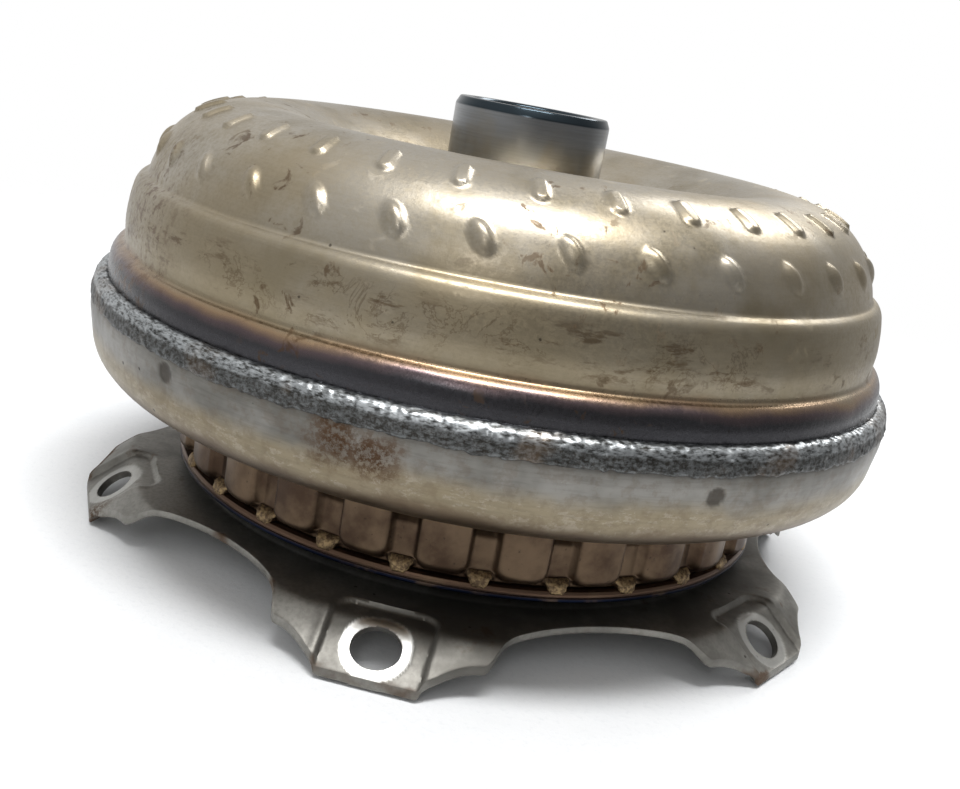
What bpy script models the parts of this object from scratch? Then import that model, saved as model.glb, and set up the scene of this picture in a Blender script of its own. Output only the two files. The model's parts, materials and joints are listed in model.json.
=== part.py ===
"""Torque converter: welded pump and cover shells with a drive plate of six lugs, and the lock-up clutch,
damper, turbine and one-way stator that turn inside them.

Every length here is in millimetres, and the helpers turn it into metres. The converter's axis is +Z, it
stands on its lugs at z = 0, and the pump hub is on top.
"""

import math

import bmesh
import bpy
from mathutils import Matrix, Vector

MM = 0.001
GAP = 0.3

# Heights of the driving levels.
WELD_LINE = 76.0
HUB_TOP = WELD_LINE + 78.5
PLATE_TOP = WELD_LINE - 60.7
END_PLATE_BOTTOM = WELD_LINE - 56.3
END_PLATE_TOP = WELD_LINE - 52.7

# Smoothness of the turned pieces: outside, inside and small ones.
OUTER_STEPS = 40
INNER_STEPS = 20
SMALL_STEPS = 8

# Outer surface of the pump shell, as (radius, height above the weld line).
PUMP_DOME = [
    (28.0, 42.5), (42.0, 43.3), (60.0, 53.6), (76.0, 62.4), (90.0, 65.0), (104.0, 63.2),
    (114.0, 57.6), (121.6, 47.5), (125.3, 37.8),
]
PUMP_SHOULDER = [(129.4, 31.5), (130.7, 22.0), (130.4, 15.0), (134.8, 5.4)]
PUMP_SKIRT_DEPTH = 6.0
PUMP_SHEET = 3.2

# Outer surface of the front cover, as (radius, height above the weld line).
COVER_PROFILE = [
    (138.6, 0.0), (139.2, -4.5), (138.0, -13.5), (134.6, -20.8), (128.0, -26.0), (118.0, -30.1),
    (108.9, -32.5),
]
COVER_SHEET = 3.4

HUB_RADIUS = 27.0
HUB_BORE = 21.0
HUB_CHAMFER = 2.6
FLANGE_RADIUS = 38.0
FLANGE_TOP = 114.9
FLANGE_BOTTOM = 108.0

# Castellated clutch drum: wide lobes and narrow flats between them.
DRUM_LOBES = 28
DRUM_RADIUS = 107.0
DRUM_FLAT_RADIUS = 103.0
DRUM_SHEET = 2.6
DRUM_TOP = WELD_LINE - 27.5
DRUM_PHASE = -85.0

# Drive plate: a flat ring, six sloping lugs, and a stamped pad round each hole.
LUGS = 6
LUG_PHASE = -97.1
LUG_SLOPE = math.radians(36.0)
LUG_REACH = 135.0
PLATE_SHEET = 2.4
PAD_DEPTH = 1.9
PAD_HALF_WIDTH = 15.0
PAD_BACK = 113.0
PAD_WALL = 2.0
RAISED_RADIUS = 95.0
STEP_RADIUS = 102.0
LUG_HOLE_RADIUS = 127.0
LUG_HOLE_HALF = (6.4, 7.3)
# Half of one lug's outline, as (angle from the lug's centre, radius).
LUG_OUTLINE = [(6.3, 135.8), (10.6, 131.0), (13.9, 129.2), (16.0, 122.5), (21.0, 115.2), (30.0, 111.5)]

PILOT_RADIUS = 21.0
PILOT_BOTTOM = 2.5
STEM_HOLE = 12.0

# Upstanding rim of the end plate, in which the piston slides.
CYLINDER_BORE = 96.2
CYLINDER_OUTSIDE = 99.6
CYLINDER_TOP = 29.0
END_PLATE_RADIUS = 105.8

# Lock-up clutch.
FRICTION_DISCS = 3
PLATE_TEETH = 14
HUB_TEETH = 12
DISC_THICKNESS = 1.8
STEEL_THICKNESS = 1.6
BACKING_THICKNESS = 3.4
PACK_CLEARANCE = 0.4
PACK_BOTTOM = 30.8
PISTON_BOTTOM = END_PLATE_TOP + 0.7

# Damper.
SPRINGS = 4
SPRING_PITCH_RADIUS = 60.0
DAMPER_FRONT_PLATE = (44.6, 46.6)
DAMPER_FLANGE = (48.4, 51.4)
DAMPER_REAR_PLATE = (53.2, 55.2)
SPRING_RADIUS = 5.3
SPRING_WIRE = 1.2
SPRING_LENGTH = 26.0
SPRING_TURNS = 4

# Torus halves.
PUMP_BLADES = 33
TURBINE_BLADES = 25
BLADE_SHEET = 1.2
BLADE_SKEW = math.radians(20.0)
BLADE_PIVOT = 86.0
RIVETS = 6
RIVET_PITCH_RADIUS = 41.5

# Stator and its one-way clutch.
VANES = 13
ROLLERS = 6
RACE_BOTTOM = 81.0
RACE_TOP = 102.0
INNER_RACE_RADIUS = 24.0
OUTER_RACE_BORE = 33.8
ROLLER_RADIUS = 4.1


def clear_scene():
    for obj in list(bpy.data.objects):
        bpy.data.objects.remove(obj, do_unlink=True)


def new_collection(name):
    collection = bpy.data.collections.new(name)
    bpy.context.scene.collection.children.link(collection)
    return collection


clear_scene()
PARTS = new_collection("torque_converter")
CUTTERS = new_collection("cutters")

STEEL = ((0.42, 0.40, 0.37), 0.35, 1.0)
DARK_STEEL = ((0.20, 0.20, 0.21), 0.30, 1.0)
BRIGHT_STEEL = ((0.60, 0.60, 0.61), 0.25, 1.0)
BRONZE_BROWN = ((0.16, 0.10, 0.07), 0.45, 0.9)
WELD = ((0.50, 0.51, 0.52), 0.5, 1.0)
LINING = ((0.30, 0.19, 0.10), 0.85, 0.0)
RUBBER = ((0.03, 0.03, 0.03), 0.7, 0.0)
ALUMINIUM = ((0.70, 0.71, 0.72), 0.4, 1.0)
NYLON = ((0.55, 0.50, 0.40), 0.55, 0.0)


def material(name, finish):
    """A Principled material of its own for one sub-part."""
    colour, roughness, metallic = finish
    made = bpy.data.materials.new(name)
    made.use_nodes = True
    shader = made.node_tree.nodes["Principled BSDF"]
    shader.inputs["Base Color"].default_value = (*colour, 1.0)
    shader.inputs["Roughness"].default_value = roughness
    shader.inputs["Metallic"].default_value = metallic
    return made


def add_object(name, data, finish=None):
    """Links data as a named part, or as a wire cutter when it has no finish."""
    obj = bpy.data.objects.new(name, data)
    if finish is None:
        CUTTERS.objects.link(obj)
        obj.hide_render = True
        obj.display_type = "WIRE"
    else:
        PARTS.objects.link(obj)
        data.materials.append(material(name, finish))
    return obj


def axis_empty(name, height):
    """An empty on the converter's axis, which a moving body's pieces hang from."""
    empty = bpy.data.objects.new(name, None)
    empty.empty_display_size = 0.02
    empty.location.z = height * MM
    PARTS.objects.link(empty)
    return empty


def hang(empty, *pieces):
    for piece in pieces:
        piece.parent = empty
        piece.matrix_parent_inverse = Matrix.Translation(-empty.location)


def polar(radius, degrees):
    angle = math.radians(degrees)
    return radius * math.cos(angle), radius * math.sin(angle)


def add_screw(obj, steps):
    screw = obj.modifiers.new("turn", "SCREW")
    screw.axis = "Z"
    screw.angle = math.tau
    screw.steps = screw.render_steps = steps
    screw.use_merge_vertices = True
    screw.merge_threshold = 0.00001
    screw.use_smooth_shade = True
    return obj


def turned(name, profile, finish=None, steps=INNER_STEPS, closed=True):
    """A solid turned from (radius, height) points that run down its outer side."""
    mesh = bpy.data.meshes.new(name)
    count = len(profile)
    edges = [(i, i + 1) for i in range(count - 1)]
    if closed:
        edges.append((count - 1, 0))
    mesh.from_pydata([(r * MM, 0.0, z * MM) for r, z in profile], edges, [])
    return add_screw(add_object(name, mesh, finish), steps)


def pressed(name, profile, thickness, finish=None, steps=OUTER_STEPS):
    """A pressed sheet: its outer surface turned from an open profile, thickened inwards."""
    obj = turned(name, profile, finish, steps, closed=False)
    sheet = obj.modifiers.new("sheet", "SOLIDIFY")
    sheet.thickness = thickness * MM
    sheet.offset = -1.0
    sheet.use_even_offset = True
    return obj


def ring(name, inner, outer, bottom, top, finish=None, steps=INNER_STEPS):
    return turned(name, [(inner, top), (outer, top), (outer, bottom), (inner, bottom)], finish, steps)


def circle(radius, steps=INNER_STEPS):
    return [polar(radius, 360.0 * step / steps) for step in range(steps)]


def toothed(tip, root, teeth, phase, tip_share=0.62, root_share=0.28):
    """An outline of teeth: each has a wide arc at the tip radius and a narrow flat at the root radius."""
    pitch = 360.0 / teeth
    outline = []
    for tooth in range(teeth):
        middle = phase + tooth * pitch
        corners = [
            (root, -root_share / 2), (root, root_share / 2),
            (tip, 0.5 - tip_share / 2), (tip, 0.5 + tip_share / 2),
        ]
        for radius, offset in corners:
            outline.append(polar(radius, middle + offset * pitch))
    return outline


def stamped(name, outlines, bottom, top, finish=None):
    """A flat plate: a 2D curve of closed outlines, the first outside and the others holes."""
    curve = bpy.data.curves.new(name, "CURVE")
    curve.dimensions = "2D"
    curve.fill_mode = "BOTH"
    curve.extrude = (top - bottom) / 2 * MM
    for outline in outlines:
        spline = curve.splines.new("POLY")
        spline.points.add(len(outline) - 1)
        spline.use_cyclic_u = True
        for point, (x, y) in zip(spline.points, outline):
            point.co = (x * MM, y * MM, 0.0, 1.0)
    obj = add_object(name, curve, finish)
    obj.location.z = (top + bottom) / 2 * MM
    return obj


def as_mesh(obj, finish=None):
    """The same solid as a closed mesh, so that a Boolean can use it."""
    graph = bpy.context.evaluated_depsgraph_get()
    mesh = bpy.data.meshes.new_from_object(obj.evaluated_get(graph))
    name, place = obj.name, obj.matrix_world.copy()
    bpy.data.objects.remove(obj, do_unlink=True)
    body = bmesh.new()
    body.from_mesh(mesh)
    bmesh.ops.remove_doubles(body, verts=body.verts, dist=0.000001)
    bmesh.ops.recalc_face_normals(body, faces=body.faces)
    body.to_mesh(mesh)
    body.free()
    mesh.materials.clear()
    made = add_object(name, mesh, finish)
    made.matrix_world = place
    return made


def boolean(obj, other, operation):
    step = obj.modifiers.new(operation.lower(), "BOOLEAN")
    step.operation = operation
    step.solver = "EXACT"
    step.object = other
    return obj


def extruded(name, outline, thickness, finish=None):
    """A closed prism over an outline in the XZ plane, thickness wide along Y."""
    body = bmesh.new()
    half = thickness / 2 * MM
    face = body.faces.new([body.verts.new((x * MM, -half, z * MM)) for x, z in outline])
    moved = bmesh.ops.extrude_face_region(body, geom=[face])
    verts = [item for item in moved["geom"] if isinstance(item, bmesh.types.BMVert)]
    bmesh.ops.translate(body, verts=verts, vec=(0.0, 2 * half, 0.0))
    bmesh.ops.recalc_face_normals(body, faces=body.faces)
    mesh = bpy.data.meshes.new(name)
    body.to_mesh(mesh)
    body.free()
    return add_object(name, mesh, finish)


def repeated(obj, count, phase=0.0, turn=Matrix.Identity(4)):
    """Replaces a cutter's mesh by so many copies of it, spread evenly round the axis."""
    body = bmesh.new()
    for index in range(count):
        angle = math.radians(phase + 360.0 * index / count)
        copy = obj.data.copy()
        copy.transform(Matrix.Rotation(angle, 4, "Z") @ turn)
        body.from_mesh(copy)
        bpy.data.meshes.remove(copy)
    body.to_mesh(obj.data)
    body.free()
    return obj


def rod(name, half_widths, length, steps, place=Matrix.Identity(4), finish=None):
    """A round or oval rod whose axis is local Z, put where a matrix says."""
    body = bmesh.new()
    bmesh.ops.create_cone(body, cap_ends=True, segments=steps, radius1=MM, radius2=MM, depth=length * MM)
    body.transform(place @ Matrix.Diagonal((*half_widths, 1.0, 1.0)))
    mesh = bpy.data.meshes.new(name)
    body.to_mesh(mesh)
    body.free()
    return add_object(name, mesh, finish)


def at(x, y, z):
    return Matrix.Translation((x * MM, y * MM, z * MM))


def above_weld(points):
    return [(r, z + WELD_LINE) for r, z in points]


# ---------------------------------------------------------------- outer casing


def lug_surface(start, depth, overrun):
    """Profile from a start radius down the lugs and past their ends, sunk by a depth square to the sheet."""
    flat = PLATE_TOP - depth
    foot = (PLATE_SHEET + PAD_DEPTH - depth) / math.cos(LUG_SLOPE)
    knee = LUG_REACH - (flat - foot) / math.tan(LUG_SLOPE)
    return [(start, flat), (knee, flat), (LUG_REACH + overrun, foot - overrun * math.tan(LUG_SLOPE))]


def make_drive_plate():
    """Dished ring with six sloping lugs; each lug has a sunken pad and an oval bolt hole."""
    raised = END_PLATE_BOTTOM - GAP
    hole_radius = PILOT_RADIUS + 2.0
    profile = [(hole_radius, raised), (RAISED_RADIUS, raised), *lug_surface(STEP_RADIUS, 0.0, 6.0)]
    plate = pressed("drive_plate", profile, PLATE_SHEET, STEEL)
    top = lug_surface(PAD_BACK - PAD_WALL, PAD_DEPTH, 8.0)
    boolean(plate, repeated(pad_pocket(), LUGS, LUG_PHASE), "DIFFERENCE")
    boolean(plate, repeated(pad_sheet(top), LUGS, LUG_PHASE), "UNION")
    boolean(plate, lug_star(), "INTERSECT")

    knee_radius, knee_height = top[1]
    height = knee_height - (LUG_HOLE_RADIUS - knee_radius) * math.tan(LUG_SLOPE)
    place = at(LUG_HOLE_RADIUS, 0, height) @ Matrix.Rotation(LUG_SLOPE, 4, "Y")
    hole = rod("lug_holes", LUG_HOLE_HALF, 18.0, 12, place)
    return boolean(plate, repeated(hole, LUGS, LUG_PHASE), "DIFFERENCE")


def pad_pocket():
    """What is cut away over one pad. Its floor lies inside the pad's sheet, so that no two faces coincide."""
    inside_sheet = 0.15
    floor = lug_surface(PAD_BACK, PAD_DEPTH + inside_sheet, 10.0)
    lid = PLATE_TOP + 8.0
    return extruded("pad_pockets", [(PAD_BACK, lid), (floor[2][0], lid), *reversed(floor)], 2 * PAD_HALF_WIDTH)


def pad_sheet(top):
    """The sunken sheet of one pad: its top profile and the same one a sheet's thickness below it."""
    shift = (0.0, PLATE_SHEET * math.tan(LUG_SLOPE / 2), PLATE_SHEET * math.sin(LUG_SLOPE))
    drop = (PLATE_SHEET, PLATE_SHEET, PLATE_SHEET * math.cos(LUG_SLOPE))
    under = [(r - back, z - down) for (r, z), back, down in zip(top, shift, drop)]
    return extruded("pads", [*top, *reversed(under)], 2 * (PAD_HALF_WIDTH + PAD_WALL))


def lug_star():
    """Tall prism over the outline of all six lugs."""
    outline = []
    for lug in range(LUGS):
        middle = LUG_PHASE + 360.0 / LUGS * lug
        outline += [polar(radius, middle - angle) for angle, radius in reversed(LUG_OUTLINE[:-1])]
        outline += [polar(radius, middle + angle) for angle, radius in LUG_OUTLINE]
    return as_mesh(stamped("lug_outline", [outline], -10.0, 30.0))


def make_pilot_boss():
    """Spigot that centres the converter in the crankshaft, with a stem through the end plate."""
    shoulder = END_PLATE_BOTTOM - GAP
    stem = STEM_HOLE - GAP
    chamfer = 2.0
    return turned(
        "pilot_boss",
        [
            (0.0, END_PLATE_TOP), (stem, END_PLATE_TOP), (stem, shoulder), (PILOT_RADIUS, shoulder),
            (PILOT_RADIUS, PILOT_BOTTOM + chamfer), (PILOT_RADIUS - chamfer, PILOT_BOTTOM),
            (0.0, PILOT_BOTTOM),
        ],
        BRIGHT_STEEL, closed=False,
    )


def make_end_plate():
    """Disc that closes the drum; its upstanding rim is the lock-up piston's cylinder."""
    return turned(
        "end_plate",
        [
            (STEM_HOLE, END_PLATE_TOP), (CYLINDER_BORE, END_PLATE_TOP), (CYLINDER_BORE, CYLINDER_TOP),
            (CYLINDER_OUTSIDE, CYLINDER_TOP), (CYLINDER_OUTSIDE, END_PLATE_TOP),
            (END_PLATE_RADIUS, END_PLATE_TOP), (END_PLATE_RADIUS, END_PLATE_BOTTOM), (STEM_HOLE, END_PLATE_BOTTOM),
        ],
        STEEL, OUTER_STEPS,
    )


def make_clutch_drum():
    outside = toothed(DRUM_RADIUS, DRUM_FLAT_RADIUS, DRUM_LOBES, DRUM_PHASE)
    inside = toothed(DRUM_RADIUS - DRUM_SHEET, DRUM_FLAT_RADIUS - DRUM_SHEET, DRUM_LOBES, DRUM_PHASE)
    return stamped("clutch_drum", [outside, inside], END_PLATE_TOP + GAP, DRUM_TOP, BRONZE_BROWN)


def make_front_cover():
    return pressed("front_cover", above_weld(COVER_PROFILE), COVER_SHEET, STEEL)


def make_pump_shell():
    profile = [*PUMP_DOME, *PUMP_SHOULDER, (PUMP_SHOULDER[-1][0], -PUMP_SKIRT_DEPTH)]
    return pressed("pump_shell", above_weld(profile), PUMP_SHEET, STEEL)


def make_weld_bead():
    """Bead that fills the ledge between the cover's lip and the pump shell's flare."""
    profile = above_weld([(135.15, 5.3), (137.6, 5.0), (139.1, 3.0), (138.8, GAP), (135.15, GAP)])
    return turned("weld_bead", profile, WELD, OUTER_STEPS)


def make_pump_hub():
    return turned(
        "pump_hub",
        [
            (HUB_BORE, HUB_TOP), (HUB_RADIUS - HUB_CHAMFER / 2, HUB_TOP), (HUB_RADIUS, HUB_TOP - HUB_CHAMFER),
            (HUB_RADIUS, FLANGE_TOP), (FLANGE_RADIUS, FLANGE_TOP), (FLANGE_RADIUS, FLANGE_BOTTOM),
            (HUB_BORE, FLANGE_BOTTOM),
        ],
        DARK_STEEL,
    )


def make_hub_weld():
    """Fillet of weld between the hub and the shell's dish."""
    base = WELD_LINE + PUMP_DOME[0][1] + GAP
    inner, outer, height = HUB_RADIUS + GAP, HUB_RADIUS + 4.5, 3.4
    return turned("hub_weld", [(inner, base + height), (outer, base + GAP), (inner, base)], WELD)


def make_plate_weld():
    """Bead round the pilot boss, between it and the drive plate's inner edge."""
    inner, outer = PILOT_RADIUS + GAP, PILOT_RADIUS + 1.6
    low = END_PLATE_BOTTOM - PLATE_SHEET
    profile = [(inner, low + 1.4), (outer, low + 1.4), (outer, low - 1.2), (inner, low - 1.8)]
    return turned("plate_weld", profile, WELD)


# ---------------------------------------------------------------- lock-up clutch


def make_piston_boss():
    """Sleeve on the end plate that the piston slides on."""
    return ring("piston_boss", 14.0, 25.7, END_PLATE_TOP + GAP, 32.0, BRIGHT_STEEL)


def make_piston():
    """Disc with a raised outer face that presses on the plate pack."""
    low = PISTON_BOTTOM
    disc, face = low + 3.4, low + 5.4
    return turned(
        "lockup_piston",
        [(27.4, disc), (84.0, disc), (86.0, face), (94.4, face), (94.4, low), (27.4, low)],
        STEEL,
    )


def make_piston_seals():
    low = PISTON_BOTTOM + 0.7
    return [
        ring("piston_outer_seal", 94.7, 95.9, low, low + 2.0, RUBBER),
        ring("piston_inner_seal", 26.0, 27.1, low, low + 2.0, RUBBER),
    ]


def make_plate_pack():
    """Friction discs and steel plates by turns, then the backing plate and its snap ring. Returns the discs."""
    discs = []
    level = PACK_BOTTOM
    steel_outline = toothed(103.9, 99.8, PLATE_TEETH, DRUM_PHASE + 180.0 / DRUM_LOBES, 0.28, 0.67)
    disc_bore = toothed(81.2, 78.8, HUB_TEETH, 0.0, 0.5, 0.4)
    for index in range(FRICTION_DISCS):
        name = f"friction_disc_{index + 1}"
        discs.append(stamped(name, [circle(98.0, 30), disc_bore], level, level + DISC_THICKNESS, LINING))
        level += DISC_THICKNESS + PACK_CLEARANCE
        last = index == FRICTION_DISCS - 1
        name = "backing_plate" if last else f"steel_plate_{index + 1}"
        top = level + (BACKING_THICKNESS if last else STEEL_THICKNESS)
        stamped(name, [steel_outline, circle(83.5)], level, top, BRIGHT_STEEL)
        level = top + (GAP if last else PACK_CLEARANCE)
    stamped("snap_ring", [open_ring(96.5, 100.0, 8.0)], level, level + STEEL_THICKNESS, DARK_STEEL)
    return discs


def open_ring(inner, outer, opening):
    """Outline of a ring with a gap of so many degrees."""
    steps = 24
    angles = [opening / 2 + (360.0 - opening) * step / steps for step in range(steps + 1)]
    return [polar(outer, angle) for angle in angles] + [polar(inner, angle) for angle in reversed(angles)]


# ---------------------------------------------------------------- damper


def window(angle, length=29.4, width=13.8):
    """One spring window in a plate, as a closed outline."""
    turn = Matrix.Rotation(math.radians(angle), 2)
    inner, outer = SPRING_PITCH_RADIUS - width / 2, SPRING_PITCH_RADIUS + width / 2
    corners = [(inner, -length / 2), (outer, -length / 2), (outer, length / 2), (inner, length / 2)]
    return [tuple(turn @ Vector((x, y))) for x, y in corners]


def spring_angles():
    return [45.0 + 360.0 * index / SPRINGS for index in range(SPRINGS)]


def make_clutch_hub():
    """Toothed sleeve for the friction discs and the damper's front plate, in one pressing."""
    wall = toothed(80.6, 78.2, HUB_TEETH, 0.0, 0.42, 0.5)
    sleeve = as_mesh(stamped("clutch_hub", [wall, circle(74.5)], PACK_BOTTOM - 0.3, DAMPER_FRONT_PLATE[1]))
    windows = [window(angle) for angle in spring_angles()]
    web = as_mesh(stamped("hub_web", [circle(76.5), circle(30.0), *windows], *DAMPER_FRONT_PLATE))
    return as_mesh(boolean(sleeve, web, "UNION"), DARK_STEEL)


def make_damper_plates():
    windows = [window(angle) for angle in spring_angles()]
    rear = stamped("damper_rear_plate", [circle(78.0), circle(46.0), *windows], *DAMPER_REAR_PLATE, DARK_STEEL)
    flange = stamped("damper_flange", [circle(71.0), circle(22.5), *windows], *DAMPER_FLANGE, STEEL)
    return rear, flange


def make_spacers():
    """Pins that hold the damper's two side plates apart, outside the flange's edge."""
    pins = []
    low, high = DAMPER_FRONT_PLATE[1], DAMPER_REAR_PLATE[0]
    length = high - low - 2 * GAP
    for index in range(SPRINGS):
        pin = rod(f"damper_pin_{index + 1}", (1.4, 1.4), length, SMALL_STEPS, finish=BRIGHT_STEEL)
        x, y = polar(73.0, 90.0 * index)
        pin.location = (x * MM, y * MM, (low + high) / 2 * MM)
        pins.append(pin)
    return pins


def make_springs():
    """Coil springs that lie along the tangent in the plates' windows."""
    made = []
    points_per_turn = 6
    count = SPRING_TURNS * points_per_turn
    for index, angle in enumerate(spring_angles()):
        name = f"damper_spring_{index + 1}"
        curve = bpy.data.curves.new(name, "CURVE")
        curve.dimensions = "3D"
        curve.bevel_depth = SPRING_WIRE * MM
        curve.bevel_resolution = 0
        curve.use_fill_caps = True
        spline = curve.splines.new("POLY")
        spline.points.add(count)
        for step, point in enumerate(spline.points):
            turn = math.tau * step / points_per_turn
            along = (step / count - 0.5) * SPRING_LENGTH
            x = SPRING_RADIUS * math.cos(turn)
            z = SPRING_RADIUS * math.sin(turn)
            point.co = (x * MM, along * MM, z * MM, 1.0)
        spring = add_object(name, curve, DARK_STEEL)
        x, y = polar(SPRING_PITCH_RADIUS, angle)
        spring.location = (x * MM, y * MM, sum(DAMPER_FLANGE) / 2 * MM)
        spring.rotation_euler.z = math.radians(angle)
        made.append(spring)
    return made


# ---------------------------------------------------------------- torus


def bladed(name, core_profile, blade_outline, count, finish, skew):
    """A core ring with its blades, made one body by a union."""
    core = pressed(name, core_profile, 1.6, finish, INNER_STEPS)
    blade = extruded(name + "_blades", blade_outline, BLADE_SHEET)
    pivot = at(BLADE_PIVOT, 0, 0)
    turn = pivot @ Matrix.Rotation(skew, 4, "Z") @ pivot.inverted()
    return boolean(core, repeated(blade, count, 0.0, turn), "UNION")


def make_pump_blades():
    core = [(65.0, 103.5), (84.0, 111.0), (104.5, 101.4)]
    blade = [
        (119.0, 101.2), (118.0, 116.0), (105.0, 132.5), (87.0, 135.6), (54.0, 119.0), (66.0, 102.7),
        (84.0, 109.8), (103.5, 101.2),
    ]
    return bladed("pump_blade_ring", core, blade, PUMP_BLADES, STEEL, BLADE_SKEW)


def make_turbine_shell():
    profile = [
        (121.8, 96.5), (120.0, 84.5), (111.0, 71.8), (96.0, 64.2), (80.0, 64.0), (54.0, 71.4), (30.0, 71.4),
    ]
    shell = pressed("turbine_shell", profile, 1.8, STEEL, INNER_STEPS)
    return boolean(shell, rivet_holes(), "DIFFERENCE")


def make_turbine_blades():
    core = [(104.5, 95.2), (84.0, 81.8), (65.0, 85.2)]
    blade = [
        (117.6, 95.4), (114.5, 84.0), (94.0, 68.2), (80.0, 68.0), (58.0, 74.6), (66.0, 86.0),
        (84.0, 82.9), (103.5, 95.4),
    ]
    return bladed("turbine_blade_ring", core, blade, TURBINE_BLADES, STEEL, -BLADE_SKEW)


def make_turbine_hub():
    hub = turned(
        "turbine_hub",
        [
            (13.5, 75.0), (26.0, 75.0), (26.0, 71.1), (48.0, 71.1), (48.0, 67.1), (26.0, 65.0), (26.0, 51.8),
            (22.0, 51.8), (22.0, 36.4), (13.5, 36.4),
        ],
        BRIGHT_STEEL,
    )
    return boolean(hub, rivet_holes(), "DIFFERENCE")


def rivet_holes():
    """The cutter for the rivets' holes, made once for the shell and the hub."""
    name = "rivet_holes"
    if name in bpy.data.objects:
        return bpy.data.objects[name]
    hole = rod(name, (2.5, 2.5), 16.0, SMALL_STEPS, at(RIVET_PITCH_RADIUS, 0, 70.0))
    return repeated(hole, RIVETS)


def make_rivets():
    """Shank with a flat head above the shell and one below the hub's flange."""
    made = []
    head, shank = 4.2, 2.2
    top, bottom = 73.2 + GAP, 66.3
    profile = [
        (0.0, top + 1.4), (head, top + 1.4), (head, top), (shank, top),
        (shank, bottom - GAP), (head, bottom - GAP), (head, bottom - 1.6), (0.0, bottom - 1.6),
    ]
    for index in range(RIVETS):
        rivet = turned(f"turbine_rivet_{index + 1}", profile, DARK_STEEL, SMALL_STEPS, closed=False)
        x, y = polar(RIVET_PITCH_RADIUS, 360.0 * index / RIVETS)
        rivet.location = (x * MM, y * MM, 0.0)
        made.append(rivet)
    return made


# ---------------------------------------------------------------- stator


def make_stator_wheel():
    """Inner ring, curved vanes and outer ring, cast as one."""
    wheel = ring("stator_wheel", 41.4, 45.4, RACE_BOTTOM + 0.5, RACE_TOP - 0.5, ALUMINIUM)
    rim = ring("stator_rim", 61.6, 64.6, 88.2, 100.0)
    section = [(-6.0, 100.6), (-1.0, 100.0), (3.6, 94.0), (5.2, 85.8), (1.6, 87.0), (-1.2, 93.0)]
    vane = extruded("stator_vanes", section, 18.6)
    turn = at(53.5, 0, 0) @ Matrix.Rotation(math.pi / 2, 4, "Z")
    boolean(wheel, repeated(vane, VANES, 0.0, turn), "UNION")
    return boolean(wheel, rim, "UNION")


def make_outer_race():
    """Ring with a tapering pocket for each roller."""
    teeth = toothed(OUTER_RACE_BORE, 29.0, ROLLERS, 30.0, 0.4, 0.5)
    return stamped("stator_outer_race", [circle(41.0), teeth], RACE_BOTTOM, RACE_TOP, BRIGHT_STEEL)


def make_inner_race():
    bore = toothed(16.4, 14.6, HUB_TEETH, 0.0, 0.4, 0.4)
    return stamped("stator_inner_race", [circle(INNER_RACE_RADIUS), bore], RACE_BOTTOM, RACE_TOP, BRIGHT_STEEL)


def make_rollers():
    made = []
    for index in range(ROLLERS):
        roller = turned(
            f"stator_roller_{index + 1}",
            [
                (0.0, RACE_TOP - 1), (ROLLER_RADIUS, RACE_TOP - 1), (ROLLER_RADIUS, RACE_BOTTOM + 1),
                (0.0, RACE_BOTTOM + 1),
            ],
            BRIGHT_STEEL, SMALL_STEPS, closed=False,
        )
        x, y = polar(INNER_RACE_RADIUS + GAP + ROLLER_RADIUS, 60.0 * index + 60.0)
        roller.location = (x * MM, y * MM, 0.0)
        made.append(roller)
    return made


def make_washers():
    return [
        ring("stator_front_washer", 17.5, 45.0, 78.2, RACE_BOTTOM - GAP, NYLON),
        ring("stator_rear_washer", 17.5, 45.0, RACE_TOP + GAP, 104.7, NYLON),
    ]


def needle_cage(name, inner, outer, bottom, top):
    """Flat cage of a thrust bearing, with a window where each needle lies."""
    needles = 6
    mid = (inner + outer) / 2
    slots = []
    for index in range(needles):
        turn = Matrix.Rotation(math.tau * index / needles, 2)
        half_long, half_wide = (outer - inner) / 2 - 2.0, 1.2
        corners = [
            (mid - half_long, -half_wide), (mid + half_long, -half_wide),
            (mid + half_long, half_wide), (mid - half_long, half_wide),
        ]
        slots.append([tuple(turn @ Vector((x, y))) for x, y in corners])
    return stamped(name, [circle(outer), circle(inner), *slots], bottom, top, BRIGHT_STEEL)


def main():
    make_drive_plate()
    make_pilot_boss()
    make_plate_weld()
    make_end_plate()
    make_clutch_drum()
    make_front_cover()
    make_weld_bead()
    make_pump_shell()
    make_pump_hub()
    make_hub_weld()
    make_pump_blades()
    make_piston_boss()

    discs = make_plate_pack()
    hang(axis_empty("piston_axis", PISTON_BOTTOM), make_piston(), *make_piston_seals())
    rear, flange = make_damper_plates()
    hang(
        axis_empty("damper_axis", DAMPER_FRONT_PLATE[0]),
        make_clutch_hub(), rear, *discs, *make_spacers(), *make_springs(),
    )
    hang(
        axis_empty("turbine_axis", 71.4),
        make_turbine_shell(), make_turbine_blades(), make_turbine_hub(), flange, *make_rivets(),
    )
    hang(axis_empty("inner_race_axis", RACE_BOTTOM), make_inner_race())
    hang(
        axis_empty("stator_axis", RACE_BOTTOM),
        make_stator_wheel(), make_outer_race(), *make_rollers(), *make_washers(),
    )
    hang(axis_empty("front_cage_axis", 32.4), needle_cage("front_needle_cage", 14.5, 25.0, 32.4, 36.0))
    hang(axis_empty("middle_cage_axis", 75.4), needle_cage("middle_needle_cage", 14.5, 25.5, 75.4, 77.8))
    hang(axis_empty("rear_cage_axis", 105.1), needle_cage("rear_needle_cage", 21.5, 37.0, 105.1, 107.6))


main()
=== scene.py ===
"""Torque converter: the fine surfaces and finishes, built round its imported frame.

Lengths are in millimetres, except for the floor and lights, and the helpers turn them into metres. A turned
piece is a grid: its rows follow a profile of (radius, height above the weld line) points and its columns go
round the axis, so relief such as lobes and ripples is a function of the profile's length and the angle.
"""

import json
import math

import bmesh
import bpy
import numpy as np
from mathutils import Matrix, Vector


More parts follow.
